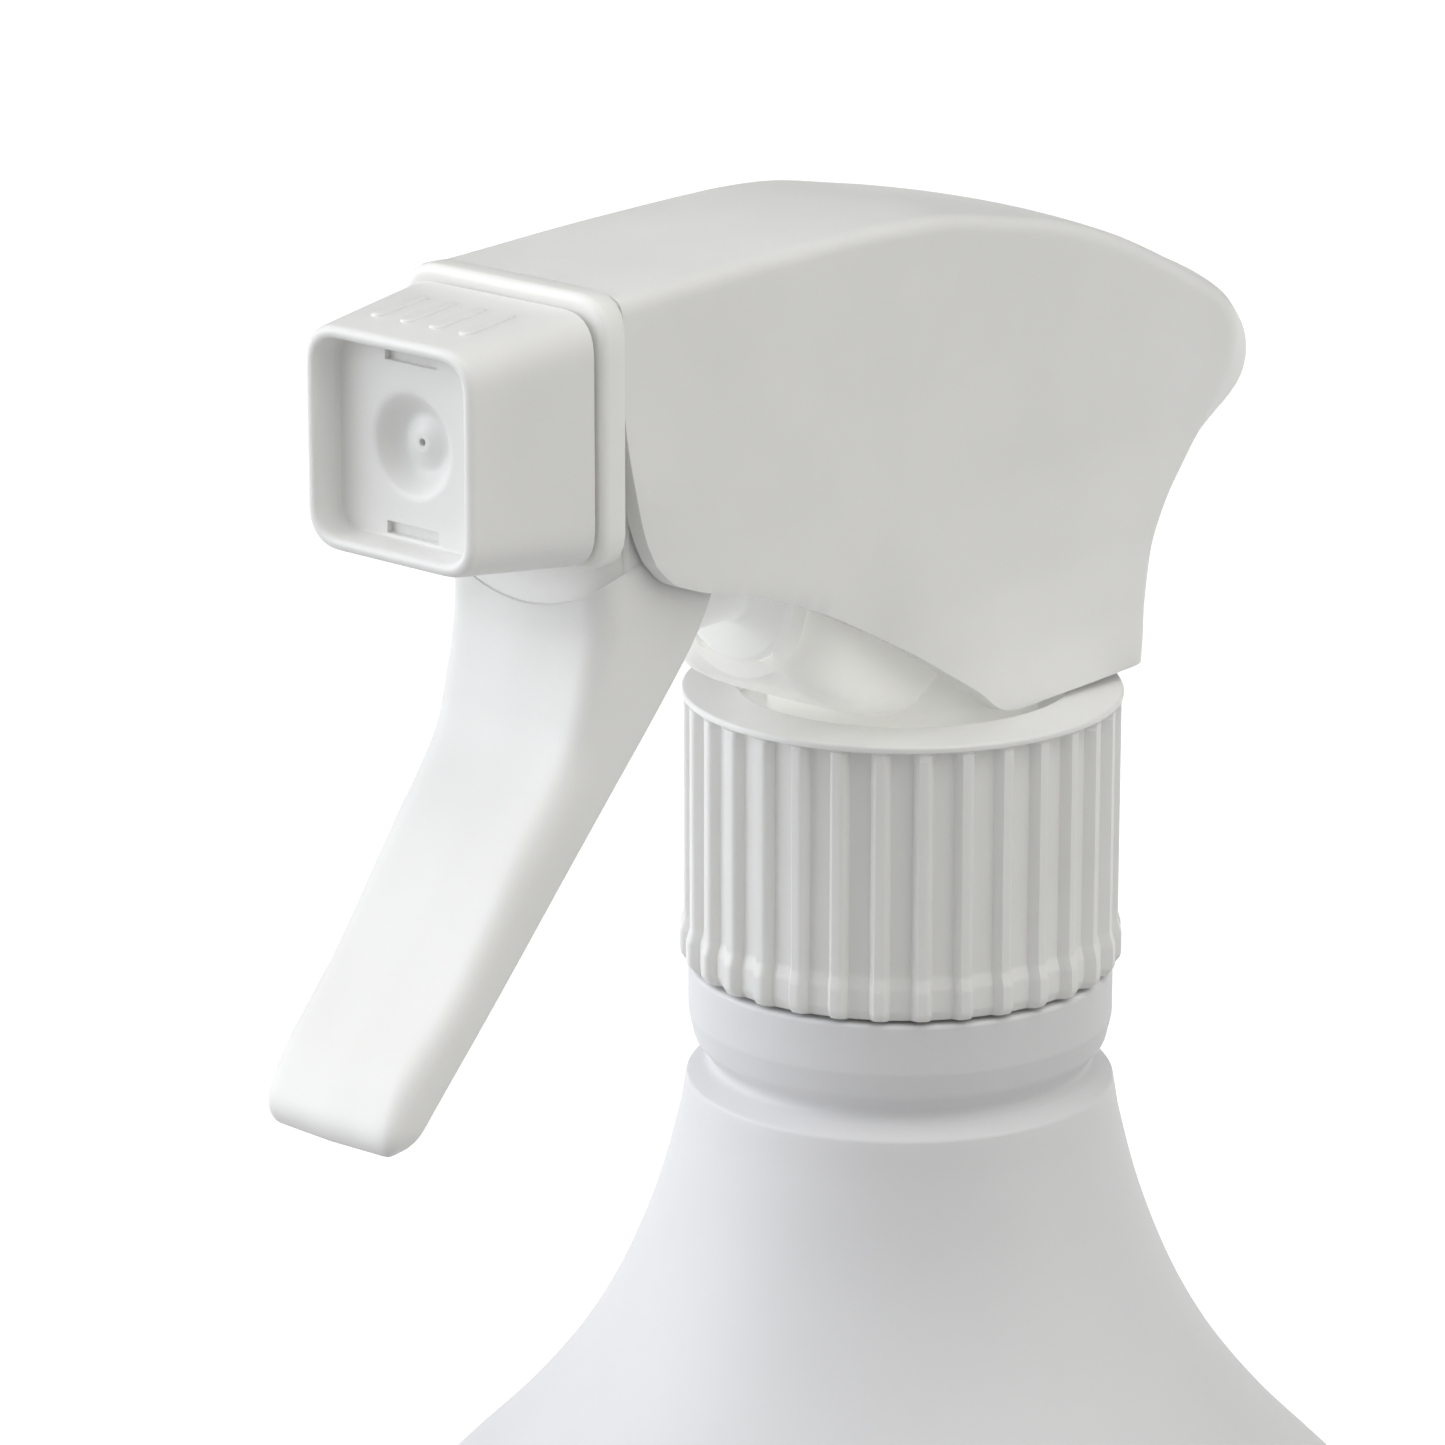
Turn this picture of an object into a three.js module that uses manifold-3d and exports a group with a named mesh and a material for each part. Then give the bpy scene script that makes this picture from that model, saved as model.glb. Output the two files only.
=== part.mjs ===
// Hand mister: a trigger pump head screwed on a blow-moulded bottle.
// Units are millimetres and +Z is up. The bottle's axis is X = Y = 0 and the nozzle points along -Y.
// Every piece is drawn with z = 0 at the closure's top lip; the last lines lift it all by LIP_HEIGHT,
// so that the finished part has its origin at the centre of the bottle's base.
import * as THREE from 'three';
import { mergeVertices } from 'three/addons/utils/BufferGeometryUtils.js';
import Module from 'manifold-3d';

const wasm = await Module();
wasm.setup();

// ---- Driving dimensions -------------------------------------------------------------------------
const GAP = 0.3; // clearance between neighbouring pieces
const LIP_HEIGHT = 195; // closure's top lip above the bottle's base

// Bottle and its 28 mm threaded neck
const BODY_RADIUS = 42;
const BASE_RADIUS = 39;
const SHOULDER_Z = -78; // where the flared shoulder meets the straight body
const BOTTLE_WALL = 1.2;
const NECK_RADIUS = 12.5;
const MOUTH_RADIUS = 10.9;
const MOUTH_Z = -4.9;
const NECK_RING_RADIUS = 16.35;
const NECK_RING_Z = -22.8;

// Rounded bead threads of one pitch on the neck and in the closure
const THREAD_PITCH = 4.23;
const THREAD_TURNS = 1.5;
const THREAD_BEAD = 0.95;
const THREAD_START_Z = -14.5;

// Ribbed closure
const CLOSURE_HEIGHT = 22;
const CLOSURE_BORE = 14.1;
const CLOSURE_ROOT_RADIUS = 15.9; // bottom of the grooves between ribs
const CLOSURE_LIP_RADIUS = 16.7;
const CLOSURE_BEAD_RADIUS = 17.1;
const CLOSURE_HOLE_RADIUS = 12.6;
const CLOSURE_CROWN = 0.4; // the top rises this much towards its hole
const CLOSURE_TOP_WALL = 1.5;
const RIB_COUNT = 32;
const RIB_WIDTH = 1.4;
const RIB_RADIUS = 16.55;
const RIB_PHASE = 0.12; // share of the pitch between the first rib and +X

// Pump housing: flange, riser, barrel and pump cylinder
const FLANGE_RADIUS = 13.7;
const FLANGE_BOTTOM_Z = -3.2;
const SHANK_RADIUS = 10.2;
const SOCKET_RADIUS = 6.8; // seat for the intake holder
const SOCKET_TOP_Z = 2.6;
const RISER_RADIUS = 4.8;
const CHANNEL_RADIUS = 1.6; // liquid passage in the riser and the rear of the barrel
const BARREL_Z = 28.4;
const BARREL_RADIUS = 4.3;
const BARREL_BORE = 2.6;
const BARREL_REAR_Y = 5;
const BARREL_FRONT_Y = -48.8;
const VALVE_SEAT_Y = -10;
const PUMP_Z = 11.5;
const PUMP_BORE = 5.8;
const PUMP_FRONT_Y = -19;
const PUMP_BACK_Y = -5;
const COWL_HALF = 7.6; // half-width of the cowl round the pump cylinder
const COWL_CORNER = 3.5;
const COWL_TOP_Z = 18.5;
const COLLAR_SIZE = 19; // square plate behind the nozzle
const COLLAR_CORNER = 3.3;
const COLLAR_FRONT_Y = -43.1;
const COLLAR_THICKNESS = 2.4;

// Trigger and its pivot
const PIVOT_Y = -33.5;
const PIVOT_Z = BARREL_Z;
const PIVOT_BOSS_RADIUS = 3.2;
const PIVOT_BOSS_HALF = 6; // half of the boss's length across the barrel
const PIVOT_PIN_RADIUS = 1.4;
const PIVOT_SOCKET_RADIUS = 1.7;
const PIVOT_SOCKET_BOTTOM = 3.3; // distance from the middle plane
const TRIGGER_HALF_TOP = 7.8;
const TRIGGER_HALF_TIP = 6.5;
const TRIGGER_TOP_Z = 17;
const TRIGGER_TIP_Z = -20;
const TRIGGER_WALL = 1.5;
const TRIGGER_FRONT_WALL = 1.8;
const TRIGGER_ARM_RADIUS = 4.4; // round top of the arms, about the pivot
const TRIGGER_ARC_RADIUS = 13.4; // clears the turning nozzle's corners
const TRIGGER_ARM_FRONT_Y = -39.8;

// Nozzle cap
const NOZZLE_BACK_Y = -43.4;
const NOZZLE_FRONT_Y = -54.6;
const NOZZLE_BACK_SIZE = 18.3;
const NOZZLE_FRONT_SIZE = 16;
const NOZZLE_CORNER = 3;
const NOZZLE_WALL = 1.2;
const NOZZLE_RECESS_SIZE = 14.3;
const NOZZLE_RECESS_DEPTH = 2.4;
const NOZZLE_WEB = 1.4;
const NOZZLE_SOCKET_RADIUS = 5.9;
const DISH_RADIUS = 3.65;
const DISH_DEPTH = 0.9;
const ORIFICE_RADIUS = 0.3;
const SLOT_OFFSET = 6.3; // the two blind slots in the recess floor, above and below the dish
const SLOT_DEPTH = 0.9;

// Shroud
const SHROUD_WALL = 1.3;
const SHROUD_FRONT_Y = -40.4;

// Small inner pieces
const TUBE_RADIUS = 2.45;
const TUBE_BORE = 1.7;
const BALL_RADIUS = 1.9;
const STRAINER_RADIUS = 3.6;

// ---- Materials ----------------------------------------------------------------------------------
function plastic(color, roughness) {
  return new THREE.MeshStandardMaterial({ color, roughness, metalness: 0 });
}

const whitePolypropylene = plastic(0xececea, 0.42);
const naturalPolypropylene = plastic(0xf0f0ea, 0.35);
const whitePolyethylene = plastic(0xeeeeee, 0.5);
const clearPolyethylene = plastic(0xe8ebe8, 0.3);
const whiteAcetal = plastic(0xf2f1ec, 0.35);
const greyFoam = plastic(0xd9d9d4, 0.85);
const blueSeal = plastic(0xdfe3e6, 0.6);
const springSteel = new THREE.MeshStandardMaterial({ color: 0xb8b9ba, roughness: 0.3, metalness: 1 });
const glassBall = plastic(0xc9dcd6, 0.08);

// ---- Solids from geometries ---------------------------------------------------------------------
const ALONG_X = new THREE.Matrix4().makeBasis(
  new THREE.Vector3(0, 1, 0), new THREE.Vector3(0, 0, 1), new THREE.Vector3(1, 0, 0));
const ALONG_MINUS_Y = new THREE.Matrix4().makeBasis(
  new THREE.Vector3(1, 0, 0), new THREE.Vector3(0, 0, 1), new THREE.Vector3(0, -1, 0));

// Turn a closed geometry into a solid, with its collapsed triangles dropped and its faces outward.
function solid(geometry) {
  const bare = geometry.index ? geometry.toNonIndexed() : geometry.clone();
  bare.deleteAttribute('normal');
  bare.deleteAttribute('uv');
  const merged = mergeVertices(bare, 1e-4);
  const position = merged.attributes.position.array;
  const corners = [];
  let volume = 0;
  for (let i = 0; i < merged.index.count; i += 3) {
    const [a, b, c] = merged.index.array.slice(i, i + 3);
    if (a === b || b === c || c === a) continue;
    corners.push(a, b, c);
    const [p, q, r] = [a, b, c].map((v) => new THREE.Vector3().fromArray(position, v * 3));
    volume += p.dot(q.cross(r));
  }
  if (volume < 0) corners.reverse();
  return new wasm.Manifold(new wasm.Mesh({
    numProp: 3,
    vertProperties: new Float32Array(position),
    triVerts: new Uint32Array(corners),
  }));
}

function join(...pieces) {
  return pieces.reduce((whole, piece) => whole.add(piece));
}

function cut(whole, ...tools) {
  return tools.reduce((rest, tool) => rest.subtract(tool), whole);
}

function mesh(name, shape, material) {
  const { vertProperties, triVerts } = shape.getMesh();
  const geometry = new THREE.BufferGeometry();
  geometry.setAttribute('position', new THREE.BufferAttribute(vertProperties, 3));
  geometry.setIndex(new THREE.BufferAttribute(triVerts, 1));
  geometry.computeVertexNormals();
  const result = new THREE.Mesh(geometry, material);
  result.name = name;
  return result;
}

function points(pairs) {
  return pairs.map(([a, b]) => new THREE.Vector2(a, b));
}

function smooth(pairs, steps) {
  return new THREE.SplineCurve(points(pairs)).getPoints(steps).map((p) => [p.x, p.y]);
}

// Revolve [radius, height] pairs about the Z axis, or about the Y axis at the height z.
function turnedZ(pairs, segments) {
  return solid(new THREE.LatheGeometry(points(pairs), segments).rotateX(Math.PI / 2));
}

function turnedY(pairs, z, segments) {
  return solid(new THREE.LatheGeometry(points(pairs), segments).translate(0, 0, z));
}

function rodY(radius, back, front, z, segments) {
  return turnedY([[0, front], [radius, front], [radius, back], [0, back]], z, segments);
}

function rodX(radius, left, right, y, z, segments) {
  const geometry = new THREE.CylinderGeometry(radius, radius, right - left, segments);
  return solid(geometry.rotateZ(Math.PI / 2).translate((left + right) / 2, y, z));
}

function block(low, high) {
  const size = high.map((value, axis) => value - low[axis]);
  const middle = high.map((value, axis) => (value + low[axis]) / 2);
  return solid(new THREE.BoxGeometry(...size).translate(...middle));
}

// Extrude a [y, z] outline across X, from -half to +half.
function acrossX(pairs, half) {
  const shape = new THREE.Shape(points(pairs));
  const geometry = new THREE.ExtrudeGeometry(shape, { depth: 2 * half, bevelEnabled: false });
  return geometry.translate(0, 0, -half).applyMatrix4(ALONG_X);
}

// Extrude a shape drawn in x and z towards -Y, from back to front.
function towardsFront(shape, back, front, curveSegments) {
  const settings = { depth: back - front, bevelEnabled: false, curveSegments };
  return new THREE.ExtrudeGeometry(shape, settings).applyMatrix4(ALONG_MINUS_Y).translate(0, back, 0);
}

function roundedSquare(size, corner) {
  const half = size / 2;
  const inner = half - corner;
  const shape = new THREE.Shape();
  shape.absarc(inner, inner, corner, 0, Math.PI / 2);
  shape.absarc(-inner, inner, corner, Math.PI / 2, Math.PI);
  shape.absarc(-inner, -inner, corner, Math.PI, 1.5 * Math.PI);
  shape.absarc(inner, -inner, corner, 1.5 * Math.PI, 2 * Math.PI);
  return shape;
}

// A square peg on the barrel's axis that tapers evenly from its back to its front.
function taperedPeg(backSize, frontSize, corner, back, front) {
  const geometry = towardsFront(roundedSquare(backSize, corner), back, front, 4);
  const position = geometry.attributes.position;
  for (let i = 0; i < position.count; i += 1) {
    const along = (position.getY(i) - back) / (front - back);
    const scale = 1 + along * (frontSize / backSize - 1);
    position.setXYZ(i, position.getX(i) * scale, position.getY(i), position.getZ(i) * scale);
  }
  return solid(geometry.translate(0, 0, BARREL_Z));
}

// Move each corner of a closed outline inwards by a distance; negative moves it outwards.
function inset(pairs, distance) {
  const corners = points(pairs);
  const side = THREE.ShapeUtils.isClockWise(corners) ? -distance : distance;
  return corners.map((corner, i) => {
    const before = corner.clone().sub(corners.at(i - 1)).normalize();
    const after = corners[(i + 1) % corners.length].clone().sub(corner).normalize();
    const mean = new THREE.Vector2(-before.y - after.y, before.x + after.x);
    const stretch = side * 2 / mean.lengthSq();
    return [corner.x + mean.x * stretch, corner.y + mean.y * stretch];
  });
}

class Helix extends THREE.Curve {
  constructor(radius, start, rise, turns, axis) {
    super();
    Object.assign(this, { radius, start, rise, turns, axis });
  }

  getPoint(t, target = new THREE.Vector3()) {
    const angle = 2 * Math.PI * this.turns * t;
    const along = this.start + this.rise * t;
    const across = this.radius * Math.cos(angle);
    const up = this.radius * Math.sin(angle);
    return this.axis === 'z' ? target.set(across, up, along) : target.set(across, along, up);
  }
}

function coil(helix, wire, stepsPerTurn, sides) {
  const section = new THREE.Shape();
  section.absarc(0, 0, wire, 0, 2 * Math.PI);
  const steps = Math.round(helix.turns * stepsPerTurn);
  return new THREE.ExtrudeGeometry(section, {
    steps, extrudePath: helix, bevelEnabled: false, curveSegments: sides / 2,
  });
}

function threadBead(radius, startZ) {
  const helix = new Helix(radius, startZ, THREAD_PITCH * THREAD_TURNS, THREAD_TURNS, 'z');
  return solid(coil(helix, THREAD_BEAD, 20, 8));
}

// ---- Bottle and closure -------------------------------------------------------------------------
function bottle() {
  const shoulder = [[BODY_RADIUS, SHOULDER_Z], [40.6, -71.5], [36.5, -66.5], [30.9, -61],
    [23.3, -51], [19.9, -43.9], [17.6, -37], [16.5, -31.7]];
  const outside = smooth(shoulder, 10);
  const inside = smooth(shoulder.map(([r, z]) => [r - BOTTLE_WALL, z - BOTTLE_WALL / 3]), 10).reverse();
  const profile = [
    [0, -LIP_HEIGHT], [BASE_RADIUS, -LIP_HEIGHT], [BODY_RADIUS - 0.7, 0.8 - LIP_HEIGHT],
    [BODY_RADIUS, 3 - LIP_HEIGHT],
    ...outside,
    [16.2, -30.6], [14.3, -29.3], [15.6, -27.7], [16.26, -26],
    [NECK_RING_RADIUS, -25.2], [NECK_RING_RADIUS, NECK_RING_Z], [NECK_RADIUS, NECK_RING_Z],
    [NECK_RADIUS, MOUTH_Z], [MOUTH_RADIUS, MOUTH_Z],
    [MOUTH_RADIUS, NECK_RING_Z], [13, -26.5], [13, -30.4],
    ...inside,
    [BODY_RADIUS - BOTTLE_WALL, 4 - LIP_HEIGHT], [BASE_RADIUS, 1.6 - LIP_HEIGHT],
    [0, 1.6 - LIP_HEIGHT],
  ];
  return join(turnedZ(profile, 36), threadBead(NECK_RADIUS + 0.2, THREAD_START_Z));
}

function closureCap() {
  const bottom = -CLOSURE_HEIGHT;
  const ribTop = -CLOSURE_TOP_WALL;
  const body = turnedZ([
    [CLOSURE_HOLE_RADIUS, CLOSURE_CROWN], [CLOSURE_LIP_RADIUS - 0.4, 0], [CLOSURE_LIP_RADIUS, -0.5],
    [CLOSURE_LIP_RADIUS, ribTop], [CLOSURE_ROOT_RADIUS, ribTop - 0.3],
    [CLOSURE_ROOT_RADIUS, bottom + 3], [CLOSURE_BEAD_RADIUS, bottom + 2.6],
    [CLOSURE_BEAD_RADIUS, bottom + 0.6], [CLOSURE_BEAD_RADIUS - 0.4, bottom],
    [CLOSURE_BORE, bottom], [CLOSURE_BORE, ribTop], [CLOSURE_HOLE_RADIUS, ribTop],
    [CLOSURE_HOLE_RADIUS, CLOSURE_CROWN],
  ], RIB_COUNT);
  const ribs = [];
  for (let i = 0; i < RIB_COUNT; i += 1) {
    const geometry = new THREE.BoxGeometry(RIB_RADIUS - CLOSURE_BORE - 1, RIB_WIDTH, CLOSURE_HEIGHT - 3.6);
    geometry.translate((RIB_RADIUS + CLOSURE_BORE + 1) / 2, 0, -CLOSURE_HEIGHT / 2 + 0.4);
    ribs.push(solid(geometry.rotateZ((i + RIB_PHASE) * 2 * Math.PI / RIB_COUNT)));
  }
  return join(body, ...ribs, threadBead(CLOSURE_BORE - 0.15, THREAD_START_Z - THREAD_PITCH / 2));
}

function closureGasket() {
  const [top, bottom] = [FLANGE_BOTTOM_Z - GAP, MOUTH_Z + GAP];
  return turnedZ([[11, bottom], [13.2, bottom], [13.2, top], [11, top], [11, bottom]], 32);
}

// ---- Pump housing and what it holds --------------------------------------------------------------
// Upright block round the pump cylinder; its front underside slopes back to the closure's hole.
function pumpCowl() {
  const inner = COWL_HALF - COWL_CORNER;
  const plan = new THREE.Shape();
  plan.moveTo(COWL_HALF, 3);
  plan.lineTo(-COWL_HALF, 3);
  plan.absarc(-inner, PUMP_FRONT_Y + COWL_CORNER, COWL_CORNER, Math.PI, 1.5 * Math.PI);
  plan.absarc(inner, PUMP_FRONT_Y + COWL_CORNER, COWL_CORNER, 1.5 * Math.PI, 2 * Math.PI);
  const upright = new THREE.ExtrudeGeometry(plan, {
    depth: COWL_TOP_Z, bevelEnabled: false, curveSegments: 5,
  });
  const side = [[4, 0.6], [-9, 0.6], [-13, 1.6], [-17.5, 3.6], [-20, 6], [-20, COWL_TOP_Z],
    [-6, COWL_TOP_Z], [3, 14], [4, 10]];
  return solid(upright).intersect(solid(acrossX(side, 20)));
}

function pumpHousing() {
  const base = turnedZ([
    [0, FLANGE_BOTTOM_Z], [FLANGE_RADIUS, FLANGE_BOTTOM_Z], [FLANGE_RADIUS, -CLOSURE_TOP_WALL - GAP],
    [SHANK_RADIUS, -CLOSURE_TOP_WALL - GAP], [SHANK_RADIUS, 0.6], [9.8, 2], [8.6, 4],
    [7, 5.4], [0, 6.6],
  ], 32);
  const riser = turnedZ([[0, 4], [RISER_RADIUS, 4], [RISER_RADIUS, BARREL_Z], [0, BARREL_Z]], 24);
  const collar = solid(towardsFront(roundedSquare(COLLAR_SIZE, COLLAR_CORNER),
    COLLAR_FRONT_Y + COLLAR_THICKNESS, COLLAR_FRONT_Y, 4).translate(0, 0, BARREL_Z));
  const outside = join(
    base,
    pumpCowl(),
    riser,
    collar,
    rodY(BARREL_RADIUS, BARREL_REAR_Y, BARREL_FRONT_Y, BARREL_Z, 24),
    rodX(PIVOT_BOSS_RADIUS, -PIVOT_BOSS_HALF, PIVOT_BOSS_HALF, PIVOT_Y, PIVOT_Z, 20),
    block([-1, -17, COWL_TOP_Z - 1], [1, -2, BARREL_Z - BARREL_RADIUS + 0.5]),
  );
  return cut(
    outside,
    turnedZ([[0, -4], [SOCKET_RADIUS, -4], [SOCKET_RADIUS, SOCKET_TOP_Z], [0, SOCKET_TOP_Z]], 24),
    turnedZ([[0, 0], [CHANNEL_RADIUS, 0], [CHANNEL_RADIUS, BARREL_Z], [0, BARREL_Z]], 12),
    rodY(CHANNEL_RADIUS, 3, VALVE_SEAT_Y - 1, BARREL_Z, 12),
    rodY(BARREL_BORE, VALVE_SEAT_Y, BARREL_FRONT_Y - 1, BARREL_Z, 16),
    rodY(BARREL_BORE, BARREL_REAR_Y + 1, 2, BARREL_Z, 16),
    rodY(PUMP_BORE, PUMP_BACK_Y, PUMP_FRONT_Y - 1, PUMP_Z, 32),
    rodY(1, 0, PUMP_BACK_Y - 1, PUMP_Z, 8),
    rodX(PIVOT_SOCKET_RADIUS, PIVOT_SOCKET_BOTTOM, PIVOT_BOSS_HALF + 1, PIVOT_Y, PIVOT_Z, 16),
    rodX(PIVOT_SOCKET_RADIUS, -PIVOT_BOSS_HALF - 1, -PIVOT_SOCKET_BOTTOM, PIVOT_Y, PIVOT_Z, 16),
  );
}

function barrelPlug() {
  const stem = BARREL_BORE - GAP / 2;
  const head = BARREL_REAR_Y + GAP;
  return turnedY([[0, 2.6], [stem, 2.6], [stem, head], [3.7, head], [3.7, head + 1], [0, head + 1]],
    BARREL_Z, 16);
}

// Double check ring and cup that slides in the pump cylinder, with its push rod.
function piston() {
  const lip = PUMP_BORE - GAP;
  return turnedY([
    [0, -35.2], [1.5, -34.9], [2.2, -33.9], [2.2, -20.8], [lip - 0.3, -20.5], [lip, -19.8],
    [lip, -14.8], [lip - 0.6, -14.8], [lip - 0.6, -18.6], [0, -18.6],
  ], PUMP_Z, 24);
}

function pistonSpring() {
  const wire = 0.35;
  const turns = 5;
  const helix = new Helix(4, PUMP_BACK_Y - GAP - wire, -12.2, turns, 'y');
  return solid(coil(helix, wire, 14, 6).translate(0, 0, PUMP_Z));
}

function intakeHolder() {
  const socket = TUBE_RADIUS + GAP;
  const outer = SOCKET_RADIUS - GAP;
  return turnedZ([
    [socket, -14], [3.9, -14], [3.9, -6], [outer, -5], [outer, SOCKET_TOP_Z - GAP],
    [BALL_RADIUS + 0.5, SOCKET_TOP_Z - GAP], [BALL_RADIUS + 0.5, -1.6], [1.3, -2.4], [1.3, -4.2],
    [socket, -4.2], [socket, -14],
  ], 24);
}

function intakeBall() {
  return solid(new THREE.SphereGeometry(BALL_RADIUS, 16, 10).translate(0, 0, -0.8));
}

function dipTube() {
  const bottom = 9 - LIP_HEIGHT;
  return turnedZ([[TUBE_BORE, bottom], [TUBE_RADIUS, bottom], [TUBE_RADIUS, -4.6], [TUBE_BORE, -4.6],
    [TUBE_BORE, bottom]], 16);
}

// Slotted foot that keeps dirt out of the tube.
function dipTubeStrainer() {
  const [foot, top] = [4 - LIP_HEIGHT, 14 - LIP_HEIGHT];
  const socket = TUBE_RADIUS + GAP;
  const seat = 8.6 - LIP_HEIGHT;
  const cup = turnedZ([[0, foot], [STRAINER_RADIUS, foot], [STRAINER_RADIUS, top], [socket, top],
    [socket, seat], [TUBE_BORE, seat], [TUBE_BORE, foot + 1], [0, foot + 1]], 16);
  const slot = block([-5, -0.5, foot + 1.4], [5, 0.5, foot + 3.8]);
  return cut(cup, slot, slot.rotate([0, 0, 90]));
}

function outletValve() {
  const r = BARREL_BORE - GAP;
  return turnedY([[0, -16], [r, -16], [r, -11.6], [1.2, VALVE_SEAT_Y - 0.4], [0, VALVE_SEAT_Y - 0.4]],
    BARREL_Z, 16);
}

function outletSpring() {
  const helix = new Helix(1.9, -16.6, -6.8, 5, 'y');
  return solid(coil(helix, 0.25, 10, 4).translate(0, 0, BARREL_Z));
}

// Grooved post that spins the liquid just behind the orifice.
function swirlInsert() {
  const r = BARREL_BORE - GAP;
  const post = turnedY([[0, -50], [r, -50], [r, -45], [1.5, -44], [1.5, -27], [r, -26], [r, -24],
    [0, -24]], BARREL_Z, 16);
  const groove = block([-3, -51, BARREL_Z - 0.35], [3, -49.4, BARREL_Z + 0.35]);
  const upright = block([-0.35, -51, BARREL_Z - 3], [0.35, -49.4, BARREL_Z + 3]);
  return cut(post, groove, upright);
}

// ---- Nozzle -------------------------------------------------------------------------------------
function nozzleCap() {
  const recessFloor = NOZZLE_FRONT_Y + NOZZLE_RECESS_DEPTH;
  const webBack = recessFloor + NOZZLE_WEB;
  const bore = BARREL_RADIUS + GAP;
  const outside = taperedPeg(NOZZLE_BACK_SIZE, NOZZLE_FRONT_SIZE, NOZZLE_CORNER,
    NOZZLE_BACK_Y, NOZZLE_FRONT_Y);
  const recess = taperedPeg(NOZZLE_RECESS_SIZE - 0.2, NOZZLE_RECESS_SIZE, NOZZLE_CORNER - 1,
    recessFloor, NOZZLE_FRONT_Y - 0.1);
  const hollow = taperedPeg(NOZZLE_BACK_SIZE - 2 * NOZZLE_WALL, NOZZLE_FRONT_SIZE - 2 * NOZZLE_WALL,
    NOZZLE_CORNER - NOZZLE_WALL, NOZZLE_BACK_Y + 0.1, webBack);
  const socket = rodY(NOZZLE_SOCKET_RADIUS, NOZZLE_BACK_Y, webBack - 0.5, BARREL_Z, 24);
  const dish = turnedY([[0, recessFloor - 0.1], [DISH_RADIUS, recessFloor - 0.1],
    [2, recessFloor + DISH_DEPTH], [0, recessFloor + DISH_DEPTH]], BARREL_Z, 24);
  const slots = [-1, 1].map((side) => {
    const z = BARREL_Z + side * SLOT_OFFSET;
    return block([-2.5, NOZZLE_FRONT_Y, z - 0.5], [2.5, recessFloor + SLOT_DEPTH, z + 0.5]);
  });
  return cut(
    outside,
    recess,
    hollow.subtract(socket),
    rodY(bore, NOZZLE_BACK_Y + 1, webBack + 0.4, BARREL_Z, 24),
    dish,
    rodY(ORIFICE_RADIUS, webBack + 1, NOZZLE_FRONT_Y, BARREL_Z, 8),
    ...slots,
  );
}

function nozzleSeal() {
  const [back, front] = [BARREL_FRONT_Y - GAP, BARREL_FRONT_Y - 1.2];
  return turnedY([[2.75, front], [BARREL_RADIUS, front], [BARREL_RADIUS, back], [2.75, back],
    [2.75, front]], BARREL_Z, 20);
}

// ---- Trigger ------------------------------------------------------------------------------------
// Narrow a geometry in X between the trigger's top and its tip.
function narrowed(geometry) {
  const position = geometry.attributes.position;
  for (let i = 0; i < position.count; i += 1) {
    const down = (TRIGGER_TOP_Z - position.getZ(i)) / (TRIGGER_TOP_Z - TRIGGER_TIP_Z);
    const slope = TRIGGER_HALF_TIP / TRIGGER_HALF_TOP - 1;
    position.setX(i, position.getX(i) * (1 + Math.max(0, Math.min(1, down)) * slope));
  }
  return geometry;
}

function trigger() {
  const front = smooth([[-41.5, 17], [-41.8, 13], [-44, 5], [-48.5, -0.8], [-54.1, -8.3],
    [-59.6, -13.8], [-61.6, -17.5]], 14);
  const armTop = [];
  for (let i = 0; i <= 8; i += 1) {
    const angle = Math.PI * i / 8;
    const y = PIVOT_Y + TRIGGER_ARM_RADIUS * Math.cos(angle);
    armTop.push([y, PIVOT_Z + TRIGGER_ARM_RADIUS * Math.sin(angle)]);
  }
  const outline = [...armTop, [-38.6, 24], [-39.7, 19.4], [-40.8, 18.2], ...front,
    [-61.9, -19], [-61.2, -20.1], [-60, -20.2], [-58.9, -19], [-32.4, 10.4], [-29.7, 14.6], [-29.1, 20]];
  const lining = front.slice(0, -2).map(([y, z]) => [y + TRIGGER_FRONT_WALL, z + 0.3]);
  const channel = [[-46, 40], [-46, 19.5], [-39.7, 19.5], ...lining, [-56.4, -14.4], [-52, -19],
    [-20, 10], [-20, 40]];
  const blank = solid(narrowed(acrossX(outline, TRIGGER_HALF_TOP)));
  const hollow = solid(narrowed(acrossX(channel, TRIGGER_HALF_TOP - TRIGGER_WALL)));
  const shell = cut(blank, hollow);
  const arc = rodY(TRIGGER_ARC_RADIUS, TRIGGER_ARM_FRONT_Y, -50, BARREL_Z, 32);
  const pushRib = block([-1.3, -41, 7.5], [1.3, -35.7, 15.4]);
  const inner = TRIGGER_HALF_TOP - TRIGGER_WALL;
  const pins = [-1, 1].map((side) => {
    const ends = [side * (PIVOT_SOCKET_BOTTOM + GAP), side * (inner + 0.5)].sort((a, b) => a - b);
    return rodX(PIVOT_PIN_RADIUS, ends[0], ends[1], PIVOT_Y, PIVOT_Z, 16);
  });
  return join(cut(shell, arc), pushRib, ...pins);
}

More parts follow.
